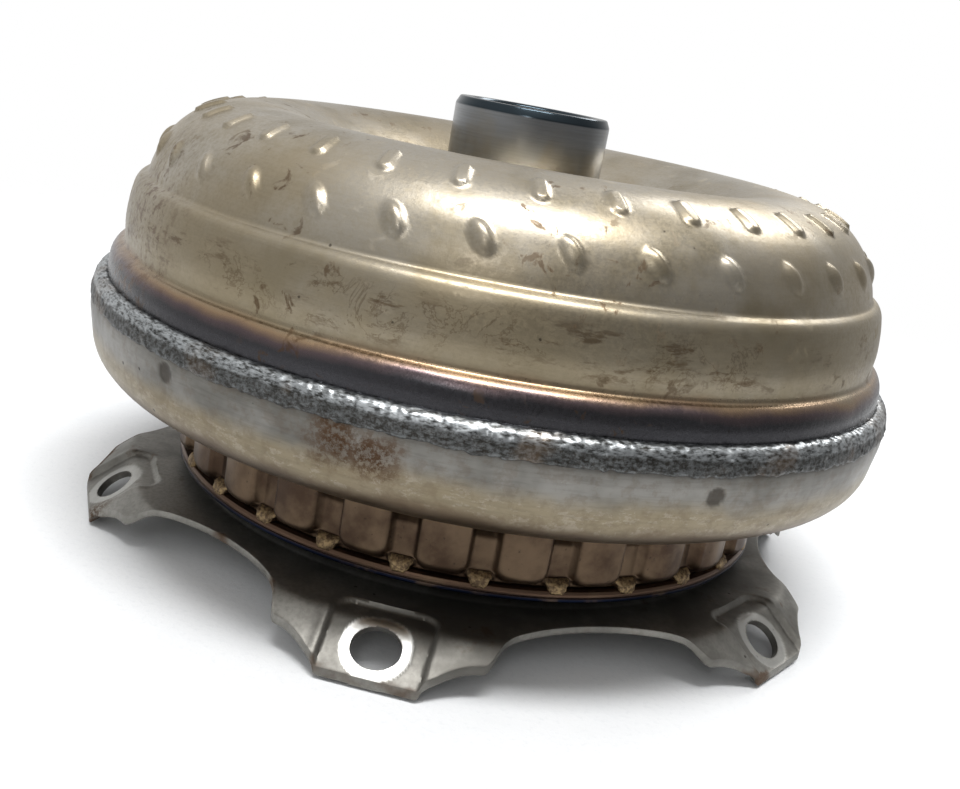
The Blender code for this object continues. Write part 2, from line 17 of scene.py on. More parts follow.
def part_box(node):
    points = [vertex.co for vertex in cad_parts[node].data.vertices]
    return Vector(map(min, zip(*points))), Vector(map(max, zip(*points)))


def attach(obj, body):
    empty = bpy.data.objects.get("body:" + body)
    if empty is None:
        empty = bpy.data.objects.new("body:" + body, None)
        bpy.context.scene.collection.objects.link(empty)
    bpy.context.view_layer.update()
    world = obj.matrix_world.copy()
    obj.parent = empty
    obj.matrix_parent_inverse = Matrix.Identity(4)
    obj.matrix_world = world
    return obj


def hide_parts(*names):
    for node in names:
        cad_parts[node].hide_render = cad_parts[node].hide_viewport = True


MM = 0.001

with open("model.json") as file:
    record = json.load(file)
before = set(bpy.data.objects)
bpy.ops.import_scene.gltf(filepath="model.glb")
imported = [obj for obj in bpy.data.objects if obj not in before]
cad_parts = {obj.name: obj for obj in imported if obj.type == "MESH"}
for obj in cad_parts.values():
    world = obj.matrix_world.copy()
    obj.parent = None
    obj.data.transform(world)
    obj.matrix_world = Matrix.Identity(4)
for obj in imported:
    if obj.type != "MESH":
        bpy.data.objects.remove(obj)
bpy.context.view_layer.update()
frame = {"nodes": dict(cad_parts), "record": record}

# Levels that the frame gives, in millimetres.
GAP = 0.3
WELD_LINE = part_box("weld_bead")[0].z / MM - GAP
HUB_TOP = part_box("pump_hub")[1].z / MM
FLANGE_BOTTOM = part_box("pump_hub")[0].z / MM
END_PLATE_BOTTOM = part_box("end_plate")[0].z / MM
END_PLATE_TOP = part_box("clutch_drum")[0].z / MM - GAP
CYLINDER_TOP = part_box("end_plate")[1].z / MM
DRUM_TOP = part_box("clutch_drum")[1].z / MM
RAISED_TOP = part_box("drive_plate")[1].z / MM
PILOT_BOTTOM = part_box("pilot_boss")[0].z / MM

# Outer surface of the pump shell, from the hub over the dome to the flare at the weld.
PUMP_OUTSIDE = [
    (28.0, 42.5), (36.0, 42.5), (41.0, 43.3), (46.0, 45.5), (52.0, 49.0), (60.0, 53.7), (68.0, 58.4),
    (76.0, 62.1), (83.0, 64.2), (90.0, 65.0), (97.0, 64.6), (103.5, 63.1), (109.5, 60.6), (114.6, 57.0),
    (119.0, 52.2), (122.3, 46.4), (124.0, 42.2), (124.7, 39.7), (125.0, 38.7), (125.4, 38.2), (126.3, 37.7),
    (127.4, 37.0), (128.5, 35.5), (129.4, 32.5), (130.2, 27.6), (130.6, 22.6), (130.4, 18.4), (130.4, 16.6),
    (130.6, 15.9), (131.1, 15.5), (132.1, 15.0), (133.2, 14.0), (134.1, 12.4), (134.6, 10.2), (134.8, 7.4),
    (134.8, 3.6), (134.8, -6.0),
]
PUMP_SHEET = 3.2
PUMP_CREASE = (125.1, 38.5)
PUMP_FLARE = (130.7, 15.8)
EMBOSSMENTS = 33
UPPER_ROW = (107.8, 61.3)
UPPER_PHASE = -98.0
UPPER_SLANT = math.radians(6.0)
UPPER_RISE = 1.05
LOWER_ROW = (121.3, 48.4)
LOWER_PHASE = -93.4
LOWER_SLANT = math.radians(33.0)
LOWER_RISE = 1.35
LOWER_HALF_LENGTH = 5.5
LOWER_HALF_WIDTH = 3.1

# Outer surface of the front cover, from the weld round its curve to the drum.
COVER_OUTSIDE = [
    (135.2, 0.0), (137.6, 0.0), (138.5, -0.3), (138.9, -1.2), (139.2, -4.5), (138.8, -8.0), (138.2, -12.0),
    (137.6, -15.8), (136.2, -19.4), (133.7, -22.6), (130.0, -25.2), (125.0, -27.5), (119.0, -29.7),
    (113.0, -31.7), (109.4, -32.7), (107.9, -33.6), (107.4, -34.8),
]
COVER_SHEET = 3.4
RIM_RADIUS = 139.0
STAMPS = ((-128.3, -5.5), (-61.9, -7.6))  # each stamp's angle and its level above the weld line
STAMP_RADIUS = 3.3
STAMP_DEPTH = 0.22

# Sections of the three weld beads: radius, and height above the joint that each one covers.
BEAD_ARC = [
    (134.3, 0.4), (134.2, 4.9), (134.9, 5.7), (136.3, 5.6), (137.8, 4.7), (138.6, 3.4), (138.9, 2.2),
    (139.2, 0.8), (139.4, -0.6), (139.45, -1.5), (139.0, -1.9), (137.8, -0.6),
]
HUB_WELD_ARC = [(27.2, 0.0), (27.2, 3.3), (28.1, 3.4), (29.4, 2.5), (30.8, 1.3), (31.6, 0.4), (31.2, 0.0)]
PLATE_WELD_ARC = [(21.2, -1.8), (21.2, 1.3), (22.0, 1.6), (22.7, 1.1), (22.8, 0.0), (22.4, -1.2)]

HUB_RADIUS = 27.0
HUB_BORE = 21.0
HUB_CHAMFER = 2.6
HUB_FLANGE_RADIUS = 38.0
HUB_FLANGE_TOP = WELD_LINE + 38.9
DISH_HEIGHT = 42.5

DRUM_LOBES = 28
DRUM_PHASE = -85.0
LOBE_RADIUS = 107.0
FLAT_RADIUS = 103.0
DRUM_SHEET = 2.6
LOBE_FOOT = 24.5
END_PLATE_RADIUS = 105.8
END_PLATE_BORE = 12.0
CYLINDER_RADII = (96.2, 99.6)
PILOT_RADIUS = 21.0
SPIGOT_RADIUS = 11.7

LUGS = 6
LUG_PITCH = 360.0 / LUGS
LUG_PHASE = -97.1
LUG_SLOPE = math.radians(36.0)
LUG_REACH = 135.0
LUG_HOLE_RADIUS = 127.0
LUG_HOLE_HALF = (6.4, 7.3)
PLATE_SHEET = 2.4
PLATE_BORE = 23.0
PLATE_RAISED_RADIUS = 101.0
PLATE_RISE = 4.1
PAD_DEPTH = 1.9
PAD_LIFT = 0.5
PAD_HALF_WIDTH = 15.0
PAD_BACK = 113.0

# Outline of the plate from a lug's middle line on: the degrees where its stretches end, and the radii there.
TIP_END, SCALLOP_END, SIDE_END = 6.3, 13.9, 15.9
TIP_CORNER, SCALLOP_CORNER = 135.8, 129.2
SCALLOP_DEPTH = 6.2
HOLLOW = [(15.9, 122.8), (18.0, 118.6), (21.0, 115.2), (25.0, 112.6), (30.0, 111.5), (31.0, 111.5)]


# ---------------- shapes


def ease(value, low, high):
    """0 below low, 1 above high, and a smooth S between them; low may be the larger one."""
    share = np.clip((value - low) / (high - low), 0.0, 1.0)
    return share * share * (3.0 - 2.0 * share)


def smooth_path(points):
    """Fine points along a smooth curve through the given ones, and how far along the curve each lies.

    Between two points the curve is the cubic that has, at each of them, the slope of its neighbours.
    """
    points = np.asarray(points, float)
    chord = np.r_[0.0, np.cumsum(np.linalg.norm(np.diff(points, axis=0), axis=1))]
    slope = np.gradient(points, chord, axis=0)
    along = np.linspace(0.0, chord[-1], 2000)
    piece = np.clip(np.searchsorted(chord, along, side="right") - 1, 0, len(chord) - 2)
    span = (chord[piece + 1] - chord[piece])[:, None]
    t = (along - chord[piece])[:, None] / span
    curve = (
        (1 + 2 * t) * (1 - t) ** 2 * points[piece] + t * (1 - t) ** 2 * span * slope[piece]
        + t * t * (3 - 2 * t) * points[piece + 1] + t * t * (t - 1) * span * slope[piece + 1]
    )
    length = np.r_[0.0, np.cumsum(np.linalg.norm(np.diff(curve, axis=0), axis=1))]
    return curve, length


def along_path(path, lengths):
    """Points and outward normals at the given distances along a smooth path."""
    curve, length = path
    tangent = np.gradient(curve, length, axis=0)
    tangent /= np.linalg.norm(tangent, axis=1)[:, None]
    points = np.stack([np.interp(lengths, length, curve[:, axis]) for axis in (0, 1)], axis=1)
    slopes = np.stack([np.interp(lengths, length, tangent[:, axis]) for axis in (0, 1)], axis=1)
    return points, np.stack([-slopes[:, 1], slopes[:, 0]], axis=1)


def spaced(*stretches):
    """Distances from the first stretch's start to the last one's end, at each stretch's own spacing."""
    parts = []
    for start, end, step in stretches:
        parts.append(np.linspace(start, end, max(2, round((end - start) / step) + 1))[:-1])
    return np.r_[np.concatenate(parts), stretches[-1][1]]


def mesh_from_grid(name, points, closed, attributes=None):
    """A mesh over a grid of points (row, column, xyz) whose columns meet round the axis.

    Closed joins the last row to the first. The attributes are named values, one for each point.
    """
    rows, columns = points.shape[:2]
    row = np.arange(rows if closed else rows - 1)[:, None]
    column = np.arange(columns)[None, :]
    below, beside = (row + 1) % rows, (column + 1) % columns
    corners = np.stack(
        [row * columns + column, below * columns + column, below * columns + beside, row * columns + beside],
        axis=-1,
    ).reshape(-1, 4)
    mesh = bpy.data.meshes.new(name)
    mesh.vertices.add(rows * columns)
    mesh.vertices.foreach_set("co", (points * MM).ravel())
    mesh.loops.add(corners.size)
    mesh.loops.foreach_set("vertex_index", corners.ravel())
    mesh.polygons.add(len(corners))
    mesh.polygons.foreach_set("loop_start", np.arange(0, corners.size, 4))
    for key, values in (attributes or {}).items():
        mesh.attributes.new(key, "FLOAT", "POINT").data.foreach_set("value", values.ravel())
    mesh.update(calc_edges=True)
    mesh.validate()
    mesh.shade_smooth()
    if not closed:
        close_poles(mesh)
    return mesh


def close_poles(mesh):
    """Joins the points that lie together where a row has shrunk onto the axis."""
    body = bmesh.new()
    body.from_mesh(mesh)
    bmesh.ops.remove_doubles(body, verts=body.verts, dist=0.000001)
    body.to_mesh(mesh)
    body.free()


def round_points(radius, angle, height):
    """Grid of xyz from radius, angle in degrees and height."""
    turn = np.radians(angle)
    return np.stack(np.broadcast_arrays(radius * np.cos(turn), radius * np.sin(turn), height), axis=-1)


def whole_turn(columns):
    """Evenly spaced angles all round, in degrees, as one row."""
    return np.arange(columns)[None, :] * 360.0 / columns


def as_piece(name, mesh, finish, node):
    """Adds a finished mesh as a piece that rides on the casing and stands for a CAD node."""
    piece = bpy.data.objects.new(name, mesh)
    bpy.context.scene.collection.objects.link(piece)
    mesh.materials.append(finish)
    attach(piece, "casing")
    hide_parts(node)


def waves(angle, along, count, longest, finest, seed):
    """Rough surface from -1 to 1 that closes round the axis: a sum of sine waves with random phases.

    Each wave turns a whole number of times round the axis, from longest to finest turns, and runs at a
    random slant along the profile.
    """
    random = np.random.default_rng(seed)
    turns = np.round(np.geomspace(longest, finest, count))
    slants = random.uniform(-2.5, 2.5, count)
    phases = random.uniform(0.0, math.tau, count)
    total = sum(
        np.sin(np.radians(angle) * n + along * slant + phase)
        for n, slant, phase in zip(turns, slants, phases)
    )
    return total / math.sqrt(count) / 1.6


def capsule(along, across, half_length, radius, edge):
    """Height from 0 to 1 of a round-ended ridge that falls off in an S over the width of its edge."""
    reach = np.hypot(np.maximum(np.abs(along) - half_length, 0.0), across)
    return ease(reach, radius, radius - edge)


def turned(down, beside, slant):
    """Distances along and across a mark whose lower end leans to the side by a slant."""
    cosine, sine = math.cos(slant), math.sin(slant)
    return down * cosine + beside * sine, beside * cosine - down * sine


def from_nearest(angle, phase, pitch):
    """Degrees from the nearest of the places that repeat at a pitch."""
    return (angle - phase + pitch / 2) % pitch - pitch / 2


def sheet_loop(path, lengths, thickness, inner_step):
    """Outer rows of a pressed sheet with their normals, and its inner rows.

    The inner rows are the same path moved in by the thickness, and run back.
    """
    outer, normal = along_path(path, lengths)
    back = spaced((lengths[0], lengths[-1], inner_step))[::-1]
    inner, inner_normal = along_path(path, back)
    return outer, normal, inner - inner_normal * thickness


def sheet_mesh(name, outer, inner, angle, **marks):
    """A pressed sheet from its outer grid of (radius, height above the weld line) and its plain inner rows.

    The marks are named values on the outer grid, and 0 on the inner rows.
    """
    inner = np.repeat(inner[:, None, :], outer.shape[1], axis=1)
    angle = np.broadcast_to(angle, outer.shape[:2])
    angle = np.vstack([angle, np.repeat(angle[-1:], len(inner), axis=0)])
    radius, height = np.moveaxis(np.concatenate([outer, inner]), -1, 0)
    plain = np.zeros(inner.shape[:2])
    marks = {key: np.vstack([values, plain]) for key, values in marks.items()}
    return mesh_from_grid(name, round_points(radius, angle, height + WELD_LINE), True, marks)


# ---------------- casing pieces


def pump_shell_mesh():
    """The domed shell. Radius and height follow the profile; two rows of raised embossments stand on it.

    Columns crowd together at the embossments: the angle of column u of a pitch is u - 0.6 sin(2 pi u) / 2 pi,
    and the place where they crowd moves from the upper row's phase to the lower row's along the profile.
    """
    path = smooth_path(PUMP_OUTSIDE)
    curve, length = path
    upper, lower, crease, flare = (
        length[np.argmin(np.hypot(*(curve - point).T))]
        for point in (UPPER_ROW, LOWER_ROW, PUMP_CREASE, PUMP_FLARE)
    )
    # The rows lie closest where the sheet is embossed or bends sharply: from, to and spacing.
    rows = spaced(
        (0.0, upper - 24.0, 3.6), (upper - 24.0, upper - 7.0, 2.1), (upper - 7.0, lower + 7.0, 0.67),
        (lower + 7.0, crease - 1.2, 0.8), (crease - 1.2, crease + 1.6, 0.28),
        (crease + 1.6, crease + 7.0, 0.8), (crease + 7.0, flare - 1.4, 1.7), (flare - 1.4, flare + 1.6, 0.30),
        (flare + 1.6, flare + 9.0, 0.8), (flare + 9.0, length[-1], 3.5),
    )
    outer, normal, inner = sheet_loop(path, rows, PUMP_SHEET, 8.0)

    pitch = 360.0 / EMBOSSMENTS
    lean_upper = math.degrees(5.0 * math.tan(UPPER_SLANT) / UPPER_ROW[0])
    lean_lower = math.degrees(6.0 * math.tan(LOWER_SLANT) / LOWER_ROW[0])
    lengths = [upper - 5.0, upper + 5.0, lower - 6.0, lower + 6.0]
    turns = [UPPER_PHASE - lean_upper, UPPER_PHASE + lean_upper]
    turns += [LOWER_PHASE - lean_lower, LOWER_PHASE + lean_lower]
    centre = np.interp(rows, lengths, turns)
    per_pitch = 20
    share = np.arange(EMBOSSMENTS * per_pitch) / per_pitch
    crowded = (share - 0.6 * np.sin(math.tau * share) / math.tau) * pitch
    angle = centre[:, None] + crowded[None, :]

    def place(level, phase, radius, slant):
        beside = np.radians(from_nearest(angle, phase, pitch)) * radius
        return turned((rows - level)[:, None], beside, slant)

    along, across = place(upper, UPPER_PHASE, UPPER_ROW[0], UPPER_SLANT)
    relief = UPPER_RISE * capsule(along, across, half_length=3.0, radius=2.65, edge=1.25)
    along, across = place(lower, LOWER_PHASE, LOWER_ROW[0], LOWER_SLANT)
    reach = np.hypot(along / LOWER_HALF_LENGTH, across / LOWER_HALF_WIDTH)
    steeper_side = 1.0 + 0.45 * across / LOWER_HALF_WIDTH
    relief += LOWER_RISE * np.clip(1.0 - reach**2.4, 0.0, 1.0) * steeper_side
    pressed = outer[:, None, :] + normal[:, None, :] * relief[:, :, None]
    uneven = 0.12 * waves(angle, rows[:, None] / 30.0, 9, 2, 17, 3) * ease(rows, 30.0, 60.0)[:, None]
    pressed[:, :, 0] += uneven
    return sheet_mesh("pump_shell", pressed, inner, angle)


def front_cover_mesh():
    """The shallow front cover: its profile turned, with two shallow round stamps on its rim."""
    path = smooth_path(COVER_OUTSIDE)
    rows = spaced((0.0, 12.0, 0.5), (12.0, 42.0, 0.9), (42.0, path[1][-1], 1.2))
    outer, normal, inner = sheet_loop(path, rows, COVER_SHEET, 4.0)
    angle = whole_turn(900)
    stamped = np.zeros((len(rows), angle.shape[1]))
    for turn, level in STAMPS:
        beside = np.radians(from_nearest(angle, turn, 360.0)) * RIM_RADIUS
        reach = np.hypot(beside, outer[:, 1:] - level)
        stamped = np.maximum(stamped, ease(reach, STAMP_RADIUS, 2.6))
    pressed = outer[:, None, :] - normal[:, None, :] * STAMP_DEPTH * stamped[:, :, None]
    pressed[:, :, 0] += 0.10 * waves(angle, outer[:, 1:] / 20.0, 7, 2, 13, 5)
    return sheet_mesh("front_cover", pressed, inner, angle, stamp=stamped)


def bead_mesh(name, arc, base, columns, ripple, seed):
    """A weld bead: its section turned, with ripples left by each pool of metal and finer roughness on them.

    The lower toe wanders up and down, so that it laps unevenly onto the piece below.
    """
    path = smooth_path(arc + arc[:1])
    rows = spaced((0.0, path[1][-1] - 0.3, 0.55))
    points, normal = along_path(path, rows)
    angle = whole_turn(columns)
    span = rows[:, None] / rows[-1]
    columns_per_pool = 4.7
    pools = np.round(columns / columns_per_pool)
    curl = np.sin(np.radians(angle) * pools + 5.0 * np.cos(math.tau * span))
    rough = waves(angle, rows[:, None], 26, columns / 30, columns / 3, seed)
    width = 1.0 + 0.5 * waves(angle, 0.0, 12, 5, 90, seed + 1)
    relief = ripple * (0.22 * curl + 0.85 * rough) * width + 0.35 * ripple * (width - 1.0)
    pressed = points[:, None, :] + normal[:, None, :] * relief[:, :, None]
    toe = ease(span, 0.50, 0.68) * ease(span, 0.92, 0.80)
    wander = 2.6 * ripple * waves(angle, 0.0, 24, 9, columns / 6, seed + 2) * toe
    radius, height = pressed[:, :, 0], pressed[:, :, 1]
    return mesh_from_grid(name, round_points(radius, angle, height + wander + base), True)


def drum_mesh():
    """The castellated drum: the flats' radius plus lobes, with tongues of braze at the flats' feet.

    Across a pitch a lobe is an S-edged plateau. Down the drum it ends in a quarter circle whose level rises
    towards the lobe's two sides, so that its lower corners are round.
    """
    per_lobe = 28
    share = np.arange(DRUM_LOBES * per_lobe) / per_lobe
    angle = (DRUM_PHASE + share * 360.0 / DRUM_LOBES)[None, :]
    off_flat = np.abs((share + 0.5) % 1.0 - 0.5)[None, :]
    fine_from, bottom = DRUM_TOP - 31.0, END_PLATE_TOP + GAP
    down = spaced((0.0, fine_from, 1.1), (fine_from, DRUM_TOP - END_PLATE_TOP - GAP, 0.36))
    level = (DRUM_TOP - down)[:, None]

    side = ease(off_flat, 0.135, 0.200)
    corner = np.clip((off_flat - 0.155) / 0.19, 0.0, 1.0)
    corner_rise, foot_round, crown_height = 4.6, 3.4, 0.40
    foot = LOBE_FOOT + corner_rise * (1.0 - np.sqrt(1.0 - (1.0 - corner) ** 2))
    share_up = np.clip((level - foot) / foot_round, 0.0, 1.0)
    lobe = side * np.sqrt(1.0 - (1.0 - share_up) ** 2)
    crown = crown_height * np.cos(math.pi * np.clip((0.5 - off_flat) / 0.33, 0.0, 1.0)) * lobe

    # A tongue of braze widens above the end plate, slants out towards its foot and is lumpy.
    wide = 0.105 + 0.045 * ease(level, 23.6, 25.6)
    tongue = ease(off_flat, wide + 0.030, wide - 0.012) * ease(level, 27.3, 26.3)
    lumps = 0.22 * waves(angle, level * 1.7, 18, 80, 900, 11)
    slant = 2.9 * ease(level, 28.0, 24.2)
    slot_depth = 1.9
    slot = ease(off_flat, 0.165, 0.130) * ease(level, 37.4, 38.2)
    radius = FLAT_RADIUS + (LOBE_RADIUS - FLAT_RADIUS) * lobe + crown + tongue * (slant + lumps)
    radius = radius - slot_depth * slot
    height = level - tongue * ease(level, 25.2, 23.6) * 1.1
    wall = spaced((bottom, DRUM_TOP, 1.9))[:, None]
    inner_lobe = side * ease(wall, 27.0, 30.0)
    inner = FLAT_RADIUS - DRUM_SHEET + (LOBE_RADIUS - FLAT_RADIUS) * inner_lobe
    wall = np.repeat(wall, len(share), axis=1)
    points = round_points(np.vstack([radius, inner]), angle, np.vstack([height, wall]))
    braze = np.vstack([tongue, np.zeros(wall.shape)])
    return mesh_from_grid("clutch_drum", points, True, {"braze": braze})


def turned_mesh(name, profile, columns, step, rounding, closed=True):
    """A turned piece: straight runs between (radius, height) corners, each corner cut to a small round."""
    corners = np.asarray(profile, float)
    before = np.roll(corners, 1, axis=0) - corners
    after = np.roll(corners, -1, axis=0) - corners
    rows = []
    for corner, back, ahead in zip(corners, before, after):
        trim = min(rounding, np.linalg.norm(back) / 3, np.linalg.norm(ahead) / 3)
        start = corner + back / np.linalg.norm(back) * trim
        end = corner + ahead / np.linalg.norm(ahead) * trim
        share = np.linspace(0.0, 1.0, 5)[:, None]
        rows.append((1 - share) ** 2 * start + 2 * share * (1 - share) * corner + share**2 * end)
    if not closed:
        rows[0], rows[-1] = corners[:1], corners[-1:]
    bends = np.vstack(rows + [rows[0][:1]] * closed)
    gaps = np.linalg.norm(np.diff(bends, axis=0), axis=1)
    parts = [
        np.linspace(start, end, max(1, round(gap / step)) + 1)[:-1]
        for start, end, gap in zip(bends[:-1], bends[1:], gaps)
    ]
    points = np.vstack(parts if closed else parts + [bends[-1:]])
    return mesh_from_grid(name, round_points(points[:, :1], whole_turn(columns), points[:, 1:]), closed)


def pump_hub_mesh():
    """The hub: a bored tube, chamfered at its top, on a flange that lies under the shell."""
    profile = [
        (HUB_BORE + 0.8, HUB_TOP), (HUB_RADIUS - HUB_CHAMFER / 2, HUB_TOP),
        (HUB_RADIUS, HUB_TOP - HUB_CHAMFER), (HUB_RADIUS, HUB_FLANGE_TOP),
        (HUB_FLANGE_RADIUS, HUB_FLANGE_TOP), (HUB_FLANGE_RADIUS, FLANGE_BOTTOM),
        (HUB_BORE, FLANGE_BOTTOM), (HUB_BORE, HUB_TOP - 0.8),
    ]
    return turned_mesh("pump_hub", profile, 240, 2.5, 0.5)


def end_plate_mesh():
    """The end plate: a bored disc with a fine groove round its rim and the piston's cylinder on top."""
    top, bottom, rim = END_PLATE_TOP, END_PLATE_BOTTOM, END_PLATE_RADIUS
    inner, outer = CYLINDER_RADII
    profile = [
        (END_PLATE_BORE, top), (inner, top), (inner, CYLINDER_TOP), (outer, CYLINDER_TOP), (outer, top),
        (rim - 0.5, top), (rim, top - 0.9), (rim, top - 1.7), (rim - 0.35, top - 1.9), (rim + 0.1, top - 2.2),
        (rim + 0.1, bottom + 0.4), (rim - 0.6, bottom), (END_PLATE_BORE, bottom),
    ]
    return turned_mesh("end_plate", profile, 360, 3.0, 0.25)


def pilot_boss_mesh():
    """The pilot boss: a chamfered disc with a centre drilling below and a spigot up into the end plate."""
    shoulder, chamfer = END_PLATE_BOTTOM - GAP, 2.0
    profile = [
        (0.0, END_PLATE_TOP), (SPIGOT_RADIUS, END_PLATE_TOP), (SPIGOT_RADIUS, shoulder),
        (PILOT_RADIUS, shoulder), (PILOT_RADIUS, PILOT_BOTTOM + chamfer),
        (PILOT_RADIUS - chamfer, PILOT_BOTTOM), (3.0, PILOT_BOTTOM), (0.0, PILOT_BOTTOM + 1.6),
    ]
    return turned_mesh("pilot_boss", profile, 160, 2.0, 0.35, closed=False)


# ---------------- drive plate


def lug_edge(off_lug):
    """Outer radius of the plate at an angle off a lug's middle line, in degrees.

    The lug's end is a straight line; then come a hollow scallop, a short side, and a wide hollow curve to the
    next lug.
    """
    end = LUG_REACH / np.cos(np.radians(off_lug))
    share = (off_lug - TIP_END) / (SCALLOP_END - TIP_END)
    scallop = TIP_CORNER + (SCALLOP_CORNER - TIP_CORNER) * share - SCALLOP_DEPTH * share * (1.0 - share)
    side = SCALLOP_CORNER - (off_lug - SCALLOP_END) * 3.2
    wide, _ = smooth_path(HOLLOW)
    curve = np.interp(off_lug, wide[:, 0], wide[:, 1])
    stretches = [off_lug < TIP_END, off_lug < SCALLOP_END, off_lug < SIDE_END]
    return np.select(stretches, [end, scallop, side], curve)


def soft_lug_edge(off_lug):
    """The same edge with its corners rounded: its mean over a soft-sided window of 1.6 degrees."""
    fine = np.linspace(-2.0, 32.0, 1701)
    window = np.hanning(81)
    sharp = lug_edge(np.minimum(np.abs(fine), LUG_PITCH - np.abs(fine)))
    rounded = np.convolve(sharp, window / window.sum(), "same")
    return np.interp(off_lug, fine[80:-60], rounded[80:-60])


def lug_height(x, sunk):
    """Height of the sheet's top at a distance out along a lug: flat, a rounded knee, then down the slope."""
    flat = RAISED_TOP - PLATE_RISE - sunk
    foot = (PLATE_SHEET + PAD_DEPTH - sunk) / math.cos(LUG_SLOPE)
    slope = foot + (LUG_REACH - x) * math.tan(LUG_SLOPE)
    soft = 1.1
    return (flat + slope - np.hypot(flat - slope, soft)) / 2 + 0.12


def pad_share(x, beside):
    """1 on the sunken pad round a lug's hole, 0 outside it.

    The pad is a rectangle with rounded inner corners and a soft wall.
    """
    corner, wall = 5.5, 1.1
    out_side = np.abs(beside) - (PAD_HALF_WIDTH - corner)
    out_back = (PAD_BACK + 1.0 + corner) - x
    reach = np.hypot(np.maximum(out_side, 0.0), np.maximum(out_back, 0.0))
    return ease(reach, corner + wall / 2, corner - wall / 2)


def drive_plate_mesh():
    """The dished plate with its six lugs: rows go out over the top, round the cut edge and back underneath.

    Columns crowd together at the lugs as on the pump shell. Heights are those of a lug's middle line at a
    distance that passes over into the plain radius away from the lug.
    """
    per_lug = 168
    share = np.arange(LUGS * per_lug) / per_lug
    crowded = (share - 0.45 * np.sin(math.tau * share) / math.tau) * LUG_PITCH
    angle = (LUG_PHASE + crowded)[None, :]
    off_lug = from_nearest(angle, LUG_PHASE, LUG_PITCH)
    edge = soft_lug_edge(np.abs(off_lug))

    edge_round = 0.45
    out = np.array([0.0, 0.25, 0.5, 0.7, 0.85, 0.94])[:, None]
    near = np.repeat(PLATE_BORE + (PLATE_RAISED_RADIUS - PLATE_BORE) * out, edge.shape[1], axis=1)
    far = PLATE_RAISED_RADIUS + (edge - edge_round - PLATE_RAISED_RADIUS) * np.linspace(0.0, 1.0, 52)[:, None]
    top_radius = np.vstack([near, far])
    under_radius = np.vstack([far[::3][::-1], near[::-1]])

    def top_height(radius):
        x, beside = radius * np.cos(np.radians(off_lug)), radius * np.sin(np.radians(off_lug))
        pad = pad_share(x, beside)
        away = ease(np.abs(beside), PAD_HALF_WIDTH, 40.0)
        wing = lug_height(x * (1 - away) + radius * away, 0.0)
        sheet = wing * (1 - pad) + (lug_height(x, PAD_DEPTH) + PAD_LIFT) * pad
        welt = 0.35 * np.exp(-(((np.abs(beside) - PAD_HALF_WIDTH - 1.6) / 1.3) ** 2)) * ease(x, 116.0, 121.0)
        seat = np.hypot((x - LUG_HOLE_RADIUS) / math.cos(LUG_SLOPE), beside)
        raised = PLATE_RISE * ease(radius, 102.0, 95.5)
        return sheet + welt + raised - 0.25 * ease(seat, 10.6, 10.1), seat

    def sheet_depth(radius):
        x = radius * np.cos(np.radians(off_lug))
        return PLATE_SHEET / np.cos(LUG_SLOPE * ease(x, 118.0, 123.0))

    height, seat = top_height(top_radius)
    depth = sheet_depth(edge)
    top = height[-1:]
    rim_radius = np.vstack([edge - 0.12, edge, edge, edge - 0.12, edge - edge_round])
    rim_height = np.vstack([top - 0.12, top - 0.5, top - depth + 0.5, top - depth + 0.15, top - depth])
    under_height = (top_height(under_radius)[0] - sheet_depth(under_radius))[1:]
    radius = np.vstack([top_radius, rim_radius, under_radius[1:]])
    all_height = np.vstack([height, rim_height, under_height])
    lowest = 0.02
    points = round_points(radius, angle, np.maximum(all_height, lowest))
    # Seats are worn bright on every lug, but at full strength only on the front lug and 0.3 elsewhere: that
    # difference is a painted highlight.
    worn = 0.3 + 0.7 * (np.abs(from_nearest(angle, LUG_PHASE, 360.0)) < 30.0)
    rim, under = np.ones(rim_radius.shape), np.ones(under_height.shape)
    seats = np.vstack([ease(seat, 10.5, 10.0) * worn, 0.0 * rim, 0.0 * under])
    to_edge = np.vstack([ease(edge - top_radius, 5.0, 0.0), rim, 0.3 * under])
    mesh = mesh_from_grid("drive_plate", points, True, {"seat": seats, "cut_edge": to_edge})
    return with_lug_holes(mesh)


def with_lug_holes(mesh):
    """The plate with its six oval holes cut square to the pads."""
    body = bmesh.new()
    bmesh.ops.create_cone(body, cap_ends=True, segments=48, radius1=1.0, radius2=1.0, depth=18.0)
    height = float(lug_height(LUG_HOLE_RADIUS, PAD_DEPTH))
    place = Matrix.Translation((LUG_HOLE_RADIUS, 0.0, height)) @ Matrix.Rotation(LUG_SLOPE, 4, "Y")
    body.transform(Matrix.Scale(MM, 4) @ place @ Matrix.Diagonal((*LUG_HOLE_HALF, 1.0, 1.0)))
    one = bpy.data.meshes.new("lug_hole")
    body.to_mesh(one)
    body.free()
    body = bmesh.new()
    for lug in range(LUGS):
        copy = one.copy()
        copy.transform(Matrix.Rotation(math.radians(LUG_PHASE + LUG_PITCH * lug), 4, "Z"))
        body.from_mesh(copy)
        bpy.data.meshes.remove(copy)
    body.to_mesh(one)
    body.free()

    plate = bpy.data.objects.new("drive_plate_blank", mesh)
    cutter = bpy.data.objects.new("lug_hole_cutter", one)
    for helper in (plate, cutter):
        bpy.context.scene.collection.objects.link(helper)
    cut = plate.modifiers.new("holes", "BOOLEAN")
    cut.operation = "DIFFERENCE"
    cut.solver = "EXACT"
    cut.object = cutter
    bpy.context.view_layer.update()
    graph = bpy.context.evaluated_depsgraph_get()
    pierced = bpy.data.meshes.new_from_object(plate.evaluated_get(graph), depsgraph=graph)
    for helper in (plate, cutter):
        bpy.data.objects.remove(helper)
    pierced.name = "drive_plate"
    pierced.materials.clear()
    pierced.set_sharp_from_angle(angle=math.radians(50.0))
    return pierced


# ---------------- finishes


def shade(red, green, blue):
    """A colour given as 0 to 255 on a screen, as the shader's linear values."""
    screen = np.array([red, green, blue]) / 255.0
    linear = np.where(screen > 0.04045, ((screen + 0.055) / 1.055) ** 2.4, screen / 12.92)
    return (*linear.tolist(), 1.0)


